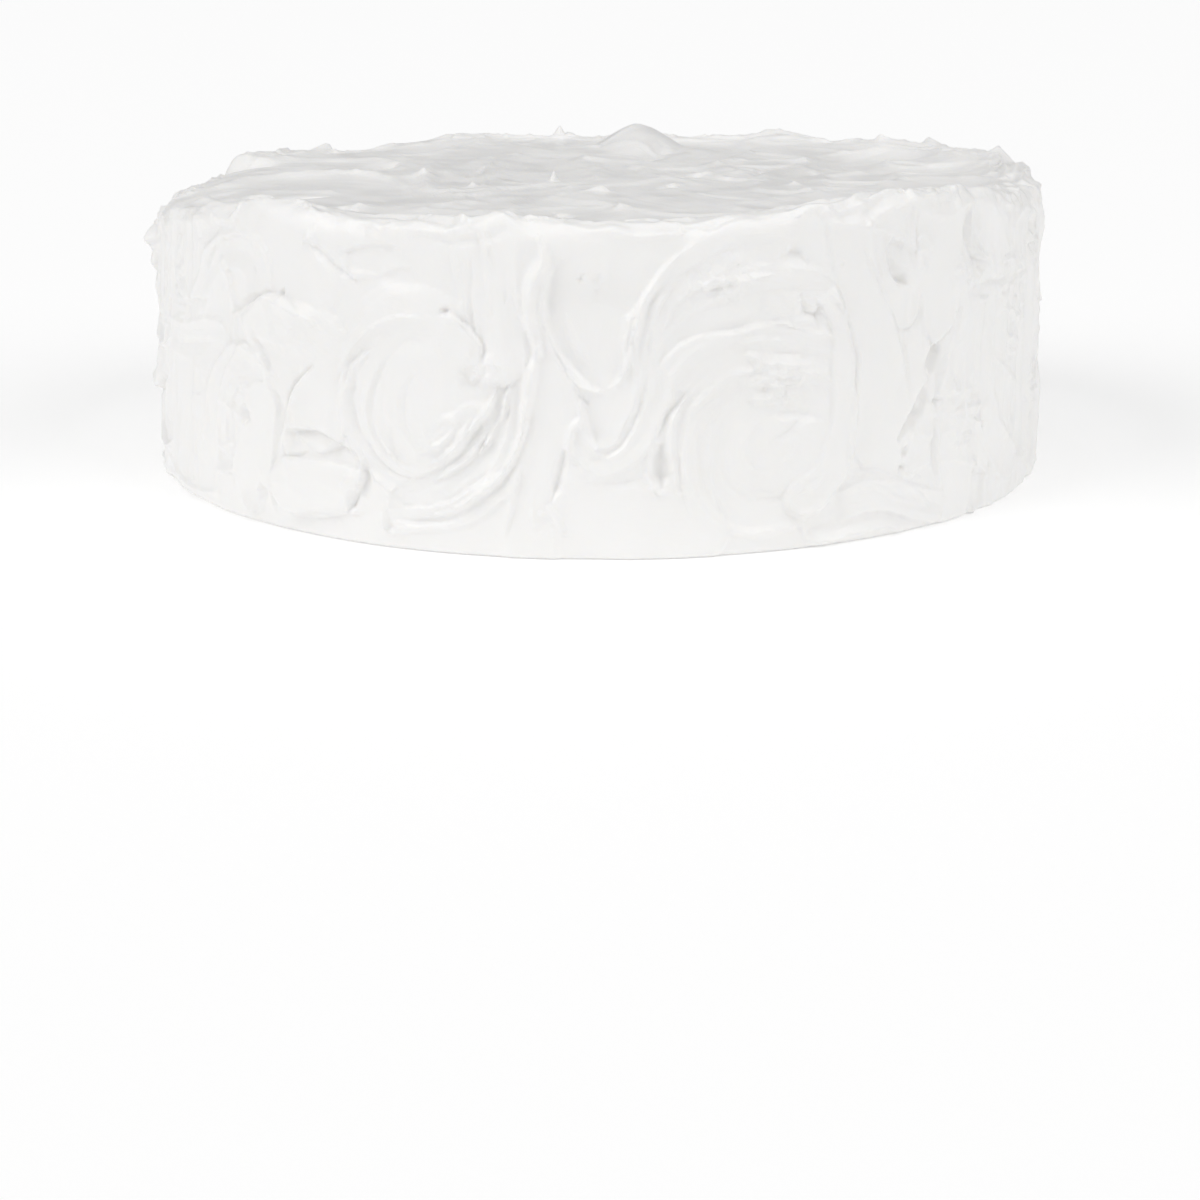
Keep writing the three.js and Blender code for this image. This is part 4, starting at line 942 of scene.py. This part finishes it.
@dataclass
class Icing:
    """The skin of buttercream, from the foot over the rim to the middle of the top, and its flat base.

    Sizes are in millimetres. columns is the number of points round the cake, which halves at each radius
    of halve_inside on the way to the middle of the top. The side's relief gives way to the top's over
    blend_width, from blend_from past the rim. In the random layers, each number is a least value or how
    much the draw adds to it, in millimetres, degrees or shares.
    """

    columns: int = 1600
    side_step: float = 0.5
    rim_step: float = 0.4
    top_step: float = 0.55
    halve_inside: tuple[float, ...] = (66.0, 33.0, 16.0, 8.0, 4.0)
    side_strokes: int = 110
    rim_strokes: int = 64
    torn_patches: int = 44
    top_strokes: int = 34
    top_streaks: int = 46
    top_peaks: int = 3
    swell: float = 1.1
    swell_length: float = 46.0
    warp: float = 1.5
    warp_length: float = 17.0
    side_touch: Touch = Touch(0.8, 1.0, 6.0, 0.3, 0.8, 0.6)
    top_touch: Touch = Touch(1.7, 0.35, 26.0, 0.12, 3.5, 2.2)
    top_share: float = 0.78
    peaks_within: float = 0.94
    mound_at: Point = (14.0, 108.0)
    mound_height: float = 6.8
    mound_radius: float = 16.0
    mound_front: float = 46.0
    turned_past_rim: float = 4.0
    blend_from: float = 4.0
    blend_width: float = 12.0
    wave_down: float = 14.0
    wave_in: float = 24.0
    tip_span: float = 4.0
    ragged_height: float = 0.8
    ragged_length: float = 6.5
    clearance: float = 0.15
    lowest: float = 0.2
    triangles: int = 190_000

    def side_stroke(self, k: int) -> Stroke:
        """The k-th stroke under the side's named ones: in turn a curl, a long sweep and an upright pull."""
        x = (draw(k, 1) - 0.5) * FORM.way_round
        y = 8 + draw(k, 2) * (FORM.height - 14)
        radius = 9 + 7 * draw(k, 3)
        turn = either_way(k, 5)
        lean = 26 * (draw(k, 6) - 0.5)
        if k % 3 == 0:
            line = arc(x, y, radius, 360 * draw(k, 4), turn * (190 + 110 * draw(k, 7)))
        elif k % 3 == 1:
            line = arc(x, y - 4 * radius, 4.2 * radius, 62, 26 + 34 * draw(k, 7))
        else:
            line = ((x, 84), (x + lean / 2, 60), (x + lean, 30 + 20 * draw(k, 7)))
        return Stroke(
            line,
            (12 + 10 * draw(k, 8), 9 + 12 * draw(k, 9)),
            1.6 * draw(k, 10) - 0.2,
            0.2 + 1.7 * draw(k, 11),
            (0.4 + 1.2 * draw(k, 12), 0.4 + 1.2 * draw(k, 13)),
            0.2 + 0.8 * draw(k, 14),
        )

    def rim_stroke(self, k: int) -> Stroke:
        """The k-th of the short narrow strokes that tore the icing along the rim."""
        x = FORM.way_round * (k + draw(k, 61)) / self.rim_strokes
        y = FORM.height + 2 + 11 * draw(k, 62)
        half = 6 + 10 * draw(k, 63)
        tilt = 5 * (draw(k, 64) - 0.5)
        sag = 2.4 * (draw(k, 65) - 0.5)
        return Stroke(
            ((x - half, y - tilt), (x, y + sag), (x + half, y + tilt)),
            (3 + 3 * draw(k, 66), 2 + 4 * draw(k, 67)),
            0.9 * draw(k, 68) - 0.35,
            0.3 * draw(k, 69),
            (0.2 + 0.7 * draw(k, 70), 0.1 + 0.5 * draw(k, 71)),
            0.7,
            0.7,
        )

    def torn_patch(self, k: int) -> RoughPatch:
        """The k-th of the torn places that are scattered round the side."""
        place = (draw(k, 91) - 0.5) * FORM.way_round, 8 + draw(k, 92) * (FORM.height - 12)
        return RoughPatch(place, (4 + 8 * draw(k, 93), 3 + 6 * draw(k, 94)), 0.3 + 0.6 * draw(k, 95))

    @staticmethod
    def place_on_top(k: int, salt: int, reach: float) -> Point:
        """The k-th of the places that are scattered evenly on the top, within a reach of its middle."""
        out = reach * math.sqrt(draw(k, salt))
        angle = 2 * math.pi * draw(k, salt + 1)
        return out * math.cos(angle), out * math.sin(angle)

    def top_stroke(self, k: int) -> Stroke:
        """The k-th stroke under the named ones on the top: a wide curved sweep in any direction."""
        x, y = self.place_on_top(k, 21, FORM.top_radius)
        radius = 26 + 30 * draw(k, 23)
        sweep = either_way(k, 24) * (70 + 90 * draw(k, 26))
        return Stroke(
            arc(x, y, radius, 360 * draw(k, 25), sweep),
            (20 + 16 * draw(k, 27), 16 + 20 * draw(k, 28)),
            0.8 * draw(k, 29) - 0.3,
            0.2 + 0.7 * draw(k, 30),
            (0.4 + 1.6 * draw(k, 31), 0.4 + 1.6 * draw(k, 32)),
            0.2 + 0.5 * draw(k, 33),
        )

    def top_streak(self, k: int) -> Crease:
        """The k-th of the long thin ridges that the blade's ends drew on the top."""
        x, y = self.place_on_top(k, 81, FORM.top_radius)
        radius = 24 + 40 * draw(k, 84)
        sweep = either_way(k, 83) * (30 + 40 * draw(k, 86))
        line = arc(x, y, radius, 360 * draw(k, 85), sweep)
        return Crease(line, 0.7 * draw(k, 87) + 0.2, 1.0 + 0.8 * draw(k, 88))

    def top_peak(self, k: int) -> Peak:
        """The k-th of the small points that are scattered on the top."""
        x, y = self.place_on_top(k, 41, self.peaks_within * FORM.top_radius)
        height = 0.9 + 0.9 * draw(k, 43)
        radius = 1.1 + 0.7 * draw(k, 44)
        return Peak(x, y, height, radius, 360 * draw(k, 45))

    def rings(self) -> list[tuple[float, int]]:
        """How far up the side's chart each ring of the grid is, and how many points it has."""
        side_end = FORM.height - FORM.rim_arc / 2
        top_start = FORM.height + FORM.rim_arc / 2
        side = np.arange(0, side_end, self.side_step)
        rim = np.arange(side_end, top_start, self.rim_step)
        top = np.arange(top_start, FORM.centre_at - self.top_step / 2, self.top_step)
        plan = []
        for up in np.concatenate([side, rim, top]):
            halvings = sum(FORM.centre_at - up < radius for radius in self.halve_inside)
            plan.append((float(up), self.columns // 2 ** halvings))
        return plan

    def side_layers(self) -> list[Stroke | Crease | Lip | RoughPatch]:
        """All that is laid on the side, from the undercoat out.

        Random strokes go all round first. The front's layers cover about a third of the way round. The
        other two thirds, which nothing shows, take the same layers moved there, one lot mirrored and one
        turned upside down.
        """
        third = FORM.way_round / 3
        highest = FORM.height + self.turned_past_rim
        mirrored = [layer.moved(lambda p: (third - p[0], p[1]), True) for layer in FRONT_LAYERS]
        turned = [layer.moved(lambda p: (-third - p[0], highest - p[1]), False) for layer in FRONT_LAYERS]
        loose = [self.side_stroke(k) for k in range(self.side_strokes)]
        patches = [self.torn_patch(k) for k in range(self.torn_patches)]
        rim = [self.rim_stroke(k) for k in range(self.rim_strokes)]
        return loose + mirrored + turned + patches + list(FRONT_LAYERS) + rim

    def lay_side(self, sheet: Sheet) -> None:
        """Lays every stroke, ridge, crack, edge and torn patch of the side."""
        for i, layer in enumerate(self.side_layers()):
            layer.spread(sheet, SIDE_SALT + i)

    def lay_top(self, sheet: Sheet) -> None:
        """Lays every stroke, ridge, edge and crack of the top."""
        wide = [self.top_stroke(k) for k in range(self.top_strokes)]
        thin = [self.top_streak(k) for k in range(self.top_streaks)]
        for i, layer in enumerate(wide + thin + list(TOP_LAYERS)):
            layer.spread(sheet, TOP_SALT + i)

    def raise_top(self, sheet: Sheet) -> None:
        """Adds the top's small points, and near its back a round mound that runs out towards the front.

        The mound's height goes by (1 - distance^2)^1.5, where the distance is 1 at its foot.
        """
        for i, peak in enumerate([self.top_peak(k) for k in range(self.top_peaks)] + list(NAMED_PEAKS)):
            peak.spread(sheet, PEAK_SALT + i)
        across = (sheet.x - self.mound_at[0]) / self.mound_radius
        back = sheet.y - self.mound_at[1]
        gone = np.where(back < 0, -back / self.mound_front, back / self.mound_radius)
        sheet.height += self.mound_height * np.maximum(0, 1 - across ** 2 - gone ** 2) ** 1.5

    def rim_pull(self, around: Array, up: Array) -> Array:
        """How far the icing near the rim stands up: a wide wave, and on the rim tips and a ragged noise.

        The wave goes through the heights of RIM_WAVE, blended between them by ease. It fades down the
        side over wave_down and across the top over wave_in.
        """
        angle = np.degrees(around / FORM.top_radius)
        places, heights = np.array(RIM_WAVE, dtype=float).T
        k = np.clip(np.searchsorted(places, angle, side="right") - 1, 0, len(places) - 2)
        share = ease((angle - places[k]) / (places[k + 1] - places[k]))
        wave = heights[k] * (1 - share) + heights[k + 1] * share
        past = up - FORM.height
        wide = np.where(past < 0, 1 + past / self.wave_down, 1 - past / self.wave_in)
        ragged = noise(around / self.ragged_length + 90, np.zeros(around.shape), 8) - 0.5
        rise = np.maximum(0, ragged) * self.ragged_height
        for tip in RIM_TIPS:
            rise = np.maximum(rise, tip.rise(around))
        return wave * ease(wide) + rise * ease(1 - np.abs(past) / self.tip_span)

    def relief(self, angle: Array, up: Array) -> tuple[Array, Array]:
        """How far the icing stands out of the plain cake, and the knife's marks on it.

        Both charts are bent a little by a noise, so that no edge is quite smooth. The side's relief fades
        into the top's past the rim.

        Args:
            angle: Angle round the cake of every point, in radians.
            up: How far up the side's chart.

        Returns:
            The relief in millimetres, and for each point the place across and along its stroke, the nicks'
            strength and how torn the icing is.
        """
        around = angle * FORM.top_radius
        swell = self.swell * (noise(around / self.swell_length + 40, up / self.swell_length, 7) - 0.5)
        reach = FORM.centre_at - up
        x, y = reach * np.sin(angle), -reach * np.cos(angle)
        on_top = np.nonzero(up > FORM.top_reach)[0]
        on_side = np.nonzero(up < FORM.side_reach)[0]

        chart = self.bend(x[on_top], y[on_top])
        top = Sheet(*chart, wraps=False, touch=self.top_touch, height=swell[on_top].copy())
        self.lay_top(top)
        height = swell.copy()
        height[on_top] = self.top_share * top.height
        marks = [np.zeros(up.shape) for _ in range(4)]
        for whole, part in zip(marks, (top.across, top.along, top.nicks, top.torn)):
            whole[on_top] = part

        chart = self.bend(around[on_side], up[on_side])
        side = Sheet(*chart, wraps=True, touch=self.side_touch, height=height[on_side].copy())
        side.across, side.along, side.nicks, side.torn = (whole[on_side] for whole in marks)
        before = height[on_side]
        self.lay_side(side)
        past = ease((up[on_side] - FORM.height - self.blend_from) / self.blend_width)
        height[on_side] = side.height * (1 - past) + before * past
        stays = past < 0.5
        for whole, part in zip(marks, (side.across, side.along, side.nicks, side.torn)):
            whole[on_side[stays]] = part[stays]

        peaks = Sheet(x[on_top], y[on_top], wraps=False, touch=self.top_touch, height=height[on_top])
        self.raise_top(peaks)
        height[on_top] = peaks.height
        return height, np.stack(marks, axis=1)

    def bend(self, x: Array, y: Array) -> tuple[Array, Array]:
        """Moves points by a smooth noise of a millimetre or two."""
        wide = self.warp_length
        right = noise(x / wide, y / wide, 51) + 0.4 * noise(x / (wide / 3), y / (wide / 3), 52) - 0.7
        upward = noise(x / wide, y / wide, 53) + 0.4 * noise(x / (wide / 3), y / (wide / 3), 54) - 0.7
        return x + self.warp * right, y + self.warp * upward

    def grid(self) -> tuple[Array, Array, list[Array]]:
        """Each point's angle and place up the side's chart, and the numbers of each ring's points."""
        plan = self.rings()
        counts = [count for _, count in plan]
        starts = np.concatenate([[0], np.cumsum(counts)])
        rows = [np.arange(start, start + count) for start, count in zip(starts, counts)]
        angle = np.concatenate([np.linspace(-math.pi, math.pi, count, endpoint=False) for count in counts])
        up = np.repeat([place for place, _ in plan], counts)
        return angle, up, rows

    @staticmethod
    def join(rows: list[Array], crown: int, foot: int) -> Array:
        """Joins each ring to the next, halving where the next has half the points, and closes both ends.

        Args:
            rows: The numbers of each ring's points, from the foot up.
            crown: Number of the point in the middle of the top.
            foot: Number of the point in the middle of the base.

        Returns:
            Three corners for each face, counted against the clock from outside.
        """
        faces = []
        for low, high in zip(rows[:-1], rows[1:]):
            after = np.roll(high, -1)
            if len(low) == len(high):
                right = np.roll(low, -1)
                faces += [np.stack([low, right, after], 1), np.stack([low, after, high], 1)]
            else:
                first, second, third = low[0::2], low[1::2], np.roll(low[0::2], -1)
                faces += [
                    np.stack([first, second, high], 1),
                    np.stack([second, third, after], 1),
                    np.stack([second, after, high], 1),
                ]
        last, lowest = rows[-1], rows[0]
        faces.append(np.stack([last, np.roll(last, -1), np.full(last.shape, crown)], 1))
        faces.append(np.stack([np.roll(lowest, -1), lowest, np.full(lowest.shape, foot)], 1))
        return np.concatenate(faces)

    def pressed(self, radius: Array, angle: Array) -> Array:
        """Presses icing that would stand out of the box of the CAD model softly back into it.

        Args:
            radius: How far from the cake's axis each point is.
            angle: Angle round the cake of each point.

        Returns:
            The radius, less a soft step of how far it goes past the box's walls.
        """
        (left, front, _), (right, back, _) = CAD_BOX
        aside, ahead = np.sin(angle), np.cos(angle)
        to_wall_x = np.abs(aside) / np.where(aside > 0, right, -left)
        to_wall_y = np.abs(ahead) / np.where(ahead > 0, -front, back)
        limit = 1 / np.maximum(to_wall_x, to_wall_y) / MM - self.clearance
        return radius - self.clearance * np.logaddexp(0, (radius - limit) / self.clearance)

    def surface(self) -> tuple[Array, Array, Array]:
        """The skin: each point of the plain cake, moved out by the relief and then up by the rim's pull.

        Out is along the normal of the plain cake's outline.

        Returns:
            Points in metres, faces, and the knife's marks at each point.
        """
        angle, up, rows = self.grid()
        angle, up = np.append(angle, 0.0), np.append(up, FORM.centre_at)
        relief, marks = self.relief(angle, up)
        radius, z, out, rise = FORM.outline(up)
        standing = self.pressed(radius + out * relief, angle)
        height = z + rise * relief + self.rim_pull(angle * FORM.top_radius, up)
        highest = CAD_BOX[1][2] / MM - self.clearance
        height = np.where(up == 0, 0.0, np.clip(height, self.lowest, highest))
        points = np.stack([standing * np.sin(angle), -standing * np.cos(angle), height], axis=1)
        crown = len(points) - 1
        points = np.vstack([points, np.zeros(3)]) * MM
        marks = np.vstack([marks, np.zeros(4)])
        return points, self.join(rows, crown, crown + 1), marks

    def build(self) -> bpy.types.Object:
        """Makes the skin's object: the full grid, thinned by collapsing the edges that matter least."""
        points, faces, marks = self.surface()
        mesh = bpy.data.meshes.new("icing_grid")
        mesh.from_pydata(points, [], faces)
        stored = mesh.attributes.new("knife", "FLOAT_VECTOR", "POINT")
        stored.data.foreach_set("vector", marks[:, :3].astype(np.float32).ravel())
        torn = mesh.attributes.new("torn", "FLOAT", "POINT")
        torn.data.foreach_set("value", marks[:, 3].astype(np.float32))
        mesh.polygons.foreach_set("use_smooth", np.ones(len(faces), dtype=bool))
        mesh.update()
        fine = bpy.data.objects.new("icing_grid", mesh)
        bpy.context.scene.collection.objects.link(fine)
        thin = fine.modifiers.new("thin", "DECIMATE")
        thin.ratio = self.triangles / len(faces)
        graph = bpy.context.evaluated_depsgraph_get()
        thinned = bpy.data.meshes.new_from_object(fine.evaluated_get(graph))
        thinned.name = "icing"
        piece = bpy.data.objects.new("icing", thinned)
        bpy.context.scene.collection.objects.link(piece)
        bpy.data.objects.remove(fine)
        bpy.data.meshes.remove(mesh)
        log.info("icing: %d triangles from %d", len(thinned.polygons), len(faces))
        return piece


class Shader:
    """One material's node tree."""

    def __init__(self, name: str) -> None:
        """Starts a material with a Principled shader.

        Args:
            name: What the material is.
        """
        self.material = bpy.data.materials.new(name)
        self.material.use_nodes = True
        self.tree = self.material.node_tree
        self.skin = self.tree.nodes["Principled BSDF"]

    def add(self, kind: str, links: Links | None = None, **settings: object) -> bpy.types.Node:
        """Adds a node.

        Args:
            kind: The node's type.
            links: For each input, the output that feeds it or the value that it holds.
            **settings: The node's own properties.

        Returns:
            The node.
        """
        node = self.tree.nodes.new(kind)
        for name, value in settings.items():
            setattr(node, name, value)
        self.link(node, links or {})
        return node

    def link(self, node: bpy.types.Node, links: Links) -> None:
        """Feeds a node's inputs from outputs, or sets them to values."""
        for name, value in links.items():
            if isinstance(value, bpy.types.NodeSocket):
                self.tree.links.new(value, node.inputs[name])
            else:
                node.inputs[name].default_value = value


@dataclass(frozen=True)
class Buttercream:
    """Butter beaten with sugar, spread with a steel palette knife.

    It gives the eye a near-white, faintly warm fat with a soft satin gloss. Light goes a millimetre or
    two into it, so shadows in its folds stay pale. The blade leaves fine lines in it, and torn folds
    where it lifts off. Sugar grains and air bubbles roughen it: real ones are a tenth of a millimetre
    wide, and these are as coarse as they need to be to show.
    """

    pale: str = "F9F8F7"
    warm: str = "F5F4F2"
    patch_mm: float = 24.0
    roughness: tuple[float, float] = (0.28, 0.5)
    gloss_mm: float = 13.0
    gloss_patch: tuple[float, float] = (0.35, 0.65)
    ior: float = 1.46
    scatter_mm: tuple[float, float, float] = (2.2, 2.0, 1.7)
    scatter: float = 0.25
    line_mm: float = 0.9
    line_stretch: float = 14.0
    line_depth_mm: float = 0.15
    line_patch_mm: float = 18.0
    line_patch: tuple[float, float] = (0.42, 0.62)
    tear_mm: float = 2.8
    tear_depth_mm: float = 0.7
    grain_mm: float = 0.7
    grain_depth_mm: float = 0.03

    def material(self) -> bpy.types.Material:
        """Mixes two whites in soft patches, and bumps the surface with blade lines, torn folds and grain."""
        s = Shader("buttercream")
        place = s.add("ShaderNodeTexCoord").outputs["Object"]
        knife = s.add("ShaderNodeAttribute", attribute_name="knife").outputs["Vector"]
        parts = s.add("ShaderNodeSeparateXYZ", {0: knife}).outputs

        patches = s.add("ShaderNodeTexNoise", {
            "Vector": place,
            "Scale": 1 / (self.patch_mm * MM),
            "Detail": 3.0,
        })
        tint = s.add("ShaderNodeMix", {"Factor": patches.outputs["Fac"]}, data_type="RGBA")
        s.link(tint, {6: linear(self.pale), 7: linear(self.warm)})

        narrow = 1 / self.line_mm
        across = s.add("ShaderNodeMath", {0: parts["X"], 1: narrow}, operation="MULTIPLY")
        along = s.add("ShaderNodeMath", {0: parts["Y"], 1: narrow / self.line_stretch}, operation="MULTIPLY")
        drawn = s.add("ShaderNodeCombineXYZ", {"X": across.outputs[0], "Y": along.outputs[0]})
        lines = s.add("ShaderNodeTexNoise", {"Vector": drawn.outputs[0], "Scale": 1.0, "Detail": 2.0})
        marked = s.add("ShaderNodeMath", {0: lines.outputs["Fac"], 1: parts["Z"]}, operation="MULTIPLY")
        pressed = s.add("ShaderNodeTexNoise", {
            "Vector": place,
            "Scale": 1 / (self.line_patch_mm * MM),
            "Detail": 1.0,
        })
        where = s.add("ShaderNodeMapRange", {
            0: pressed.outputs["Fac"],
            1: self.line_patch[0],
            2: self.line_patch[1],
        })
        patchy = s.add("ShaderNodeMath", {0: marked.outputs[0], 1: where.outputs[0]}, operation="MULTIPLY")
        line_bump = s.add("ShaderNodeBump", {
            "Height": patchy.outputs[0],
            "Distance": self.line_depth_mm * MM,
        })

        slick = s.add("ShaderNodeTexNoise", {
            "Vector": place,
            "Scale": 1 / (self.gloss_mm * MM),
            "Detail": 2.0,
        })
        gloss = s.add("ShaderNodeMapRange", {
            0: slick.outputs["Fac"],
            1: self.gloss_patch[0],
            2: self.gloss_patch[1],
            3: self.roughness[0],
            4: self.roughness[1],
        })

        tear = s.add("ShaderNodeTexNoise", {
            "Vector": place,
            "Scale": 1 / (self.tear_mm * MM),
            "Detail": 2.0,
            "Distortion": 0.5,
        })
        torn = s.add("ShaderNodeAttribute", attribute_name="torn").outputs["Fac"]
        folds = s.add("ShaderNodeMath", {0: tear.outputs["Fac"], 1: torn}, operation="MULTIPLY")
        tear_bump = s.add("ShaderNodeBump", {
            "Height": folds.outputs[0],
            "Distance": self.tear_depth_mm * MM,
            "Normal": line_bump.outputs["Normal"],
        })

        grain = s.add("ShaderNodeTexNoise", {
            "Vector": place,
            "Scale": 1 / (self.grain_mm * MM),
            "Detail": 2.0,
        })
        grain_bump = s.add("ShaderNodeBump", {
            "Height": grain.outputs["Fac"],
            "Distance": self.grain_depth_mm * MM,
            "Normal": tear_bump.outputs["Normal"],
        })
        s.link(s.skin, {
            "Base Color": tint.outputs[2],
            "Normal": grain_bump.outputs["Normal"],
            "Roughness": gloss.outputs[0],
            "IOR": self.ior,
            "Subsurface Weight": self.scatter,
            "Subsurface Scale": MM,
            "Subsurface Radius": self.scatter_mm,
        })
        return s.material


@dataclass(frozen=True)
class LightTable:
    """Matt white acrylic over a light table, which gives the eye no gloss and a soft, pale shadow."""

    colour: str = "E8E8E8"
    roughness: float = 0.9
    lit_from_behind: float = 0.27

    def material(self) -> bpy.types.Material:
        """One even white."""
        s = Shader("matt_white_acrylic")
        s.link(s.skin, {
            "Base Color": linear(self.colour),
            "Roughness": self.roughness,
            "Emission Color": linear("FFFFFF"),
            "Emission Strength": self.lit_from_behind,
        })
        return s.material


class LightKind(Enum):
    """The studio's lamps."""

    LEFT = "light_left"
    RIGHT = "light_right"
    TOP = "light_top"


@dataclass(frozen=True)
class SoftBox:
    """A soft lamp far enough off to light the floor evenly.

    bearing is where it stands round the cake, from the camera's side to its right, and elevation how
    high. Both and the width that it fills of the sky are in degrees, and strength is in watts for each
    square metre that faces it.
    """

    kind: LightKind
    bearing: float
    elevation: float
    width: float
    strength: float

    def build(self) -> bpy.types.Object:
        """Makes the lamp and turns its face to the cake."""
        lamp = bpy.data.lights.new(self.kind.value, "SUN")
        lamp.energy = self.strength
        lamp.angle = math.radians(self.width)
        piece = bpy.data.objects.new(self.kind.value, lamp)
        piece.rotation_euler = (math.radians(90 - self.elevation), 0, math.radians(self.bearing))
        bpy.context.scene.collection.objects.link(piece)
        return piece


@dataclass
class Studio:
    """The floor, the lamps and the camera, where the photograph's camera stood."""

    floor_half: float = 6.0
    world: float = 0.305
    camera_back: float = 0.6875
    camera_up: float = 0.1555
    camera_down: float = 16.82
    lens: float = 65.13
    sensor: float = 36.0
    boxes: tuple[SoftBox, ...] = (
        SoftBox(LightKind.LEFT, -64.0, 34.0, 40.0, 1.07),
        SoftBox(LightKind.RIGHT, 60.0, 34.0, 40.0, 0.89),
        SoftBox(LightKind.TOP, 0.0, 80.0, 50.0, 0.74),
    )

    def floor(self) -> None:
        """A flat square, far larger than the view."""
        half = self.floor_half
        corners = [(-half, -half, 0), (half, -half, 0), (half, half, 0), (-half, half, 0)]
        mesh = bpy.data.meshes.new("floor")
        mesh.from_pydata(corners, [], [(0, 1, 2, 3)])
        mesh.materials.append(LightTable().material())
        piece = bpy.data.objects.new("floor", mesh)
        bpy.context.scene.collection.objects.link(piece)

    def sky(self) -> None:
        """Even white light from all round."""
        world = bpy.data.worlds.new("studio_white")
        world.use_nodes = True
        light = world.node_tree.nodes["Background"].inputs
        light["Color"].default_value = linear("FFFFFF")
        light["Strength"].default_value = self.world
        bpy.context.scene.world = world
        bpy.context.scene.view_settings.view_transform = "Standard"

    def camera(self) -> None:
        """Stands in front of the cake, looks along +Y and tilts down."""
        lens = bpy.data.cameras.new("camera")
        lens.lens = self.lens
        lens.sensor_width = self.sensor
        piece = bpy.data.objects.new("camera", lens)
        piece.location = (0, -self.camera_back, self.camera_up)
        piece.rotation_euler = (math.radians(90 - self.camera_down), 0, 0)
        bpy.context.scene.collection.objects.link(piece)
        bpy.context.scene.camera = piece

    def build(self) -> None:
        """Sets the studio up."""
        self.floor()
        self.sky()
        self.camera()
        for box in self.boxes:
            box.build()


def main() -> None:
    """Builds the studio and the cake."""
    logging.basicConfig(level=logging.INFO, format="%(message)s")
    Studio().build()
    log.info("studio: floor, lamps and camera")
    icing = Icing().build()
    icing.data.materials.append(Buttercream().material())
    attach(icing, "root")
    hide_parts(NODE)


if __name__ == "__main__":
    main()
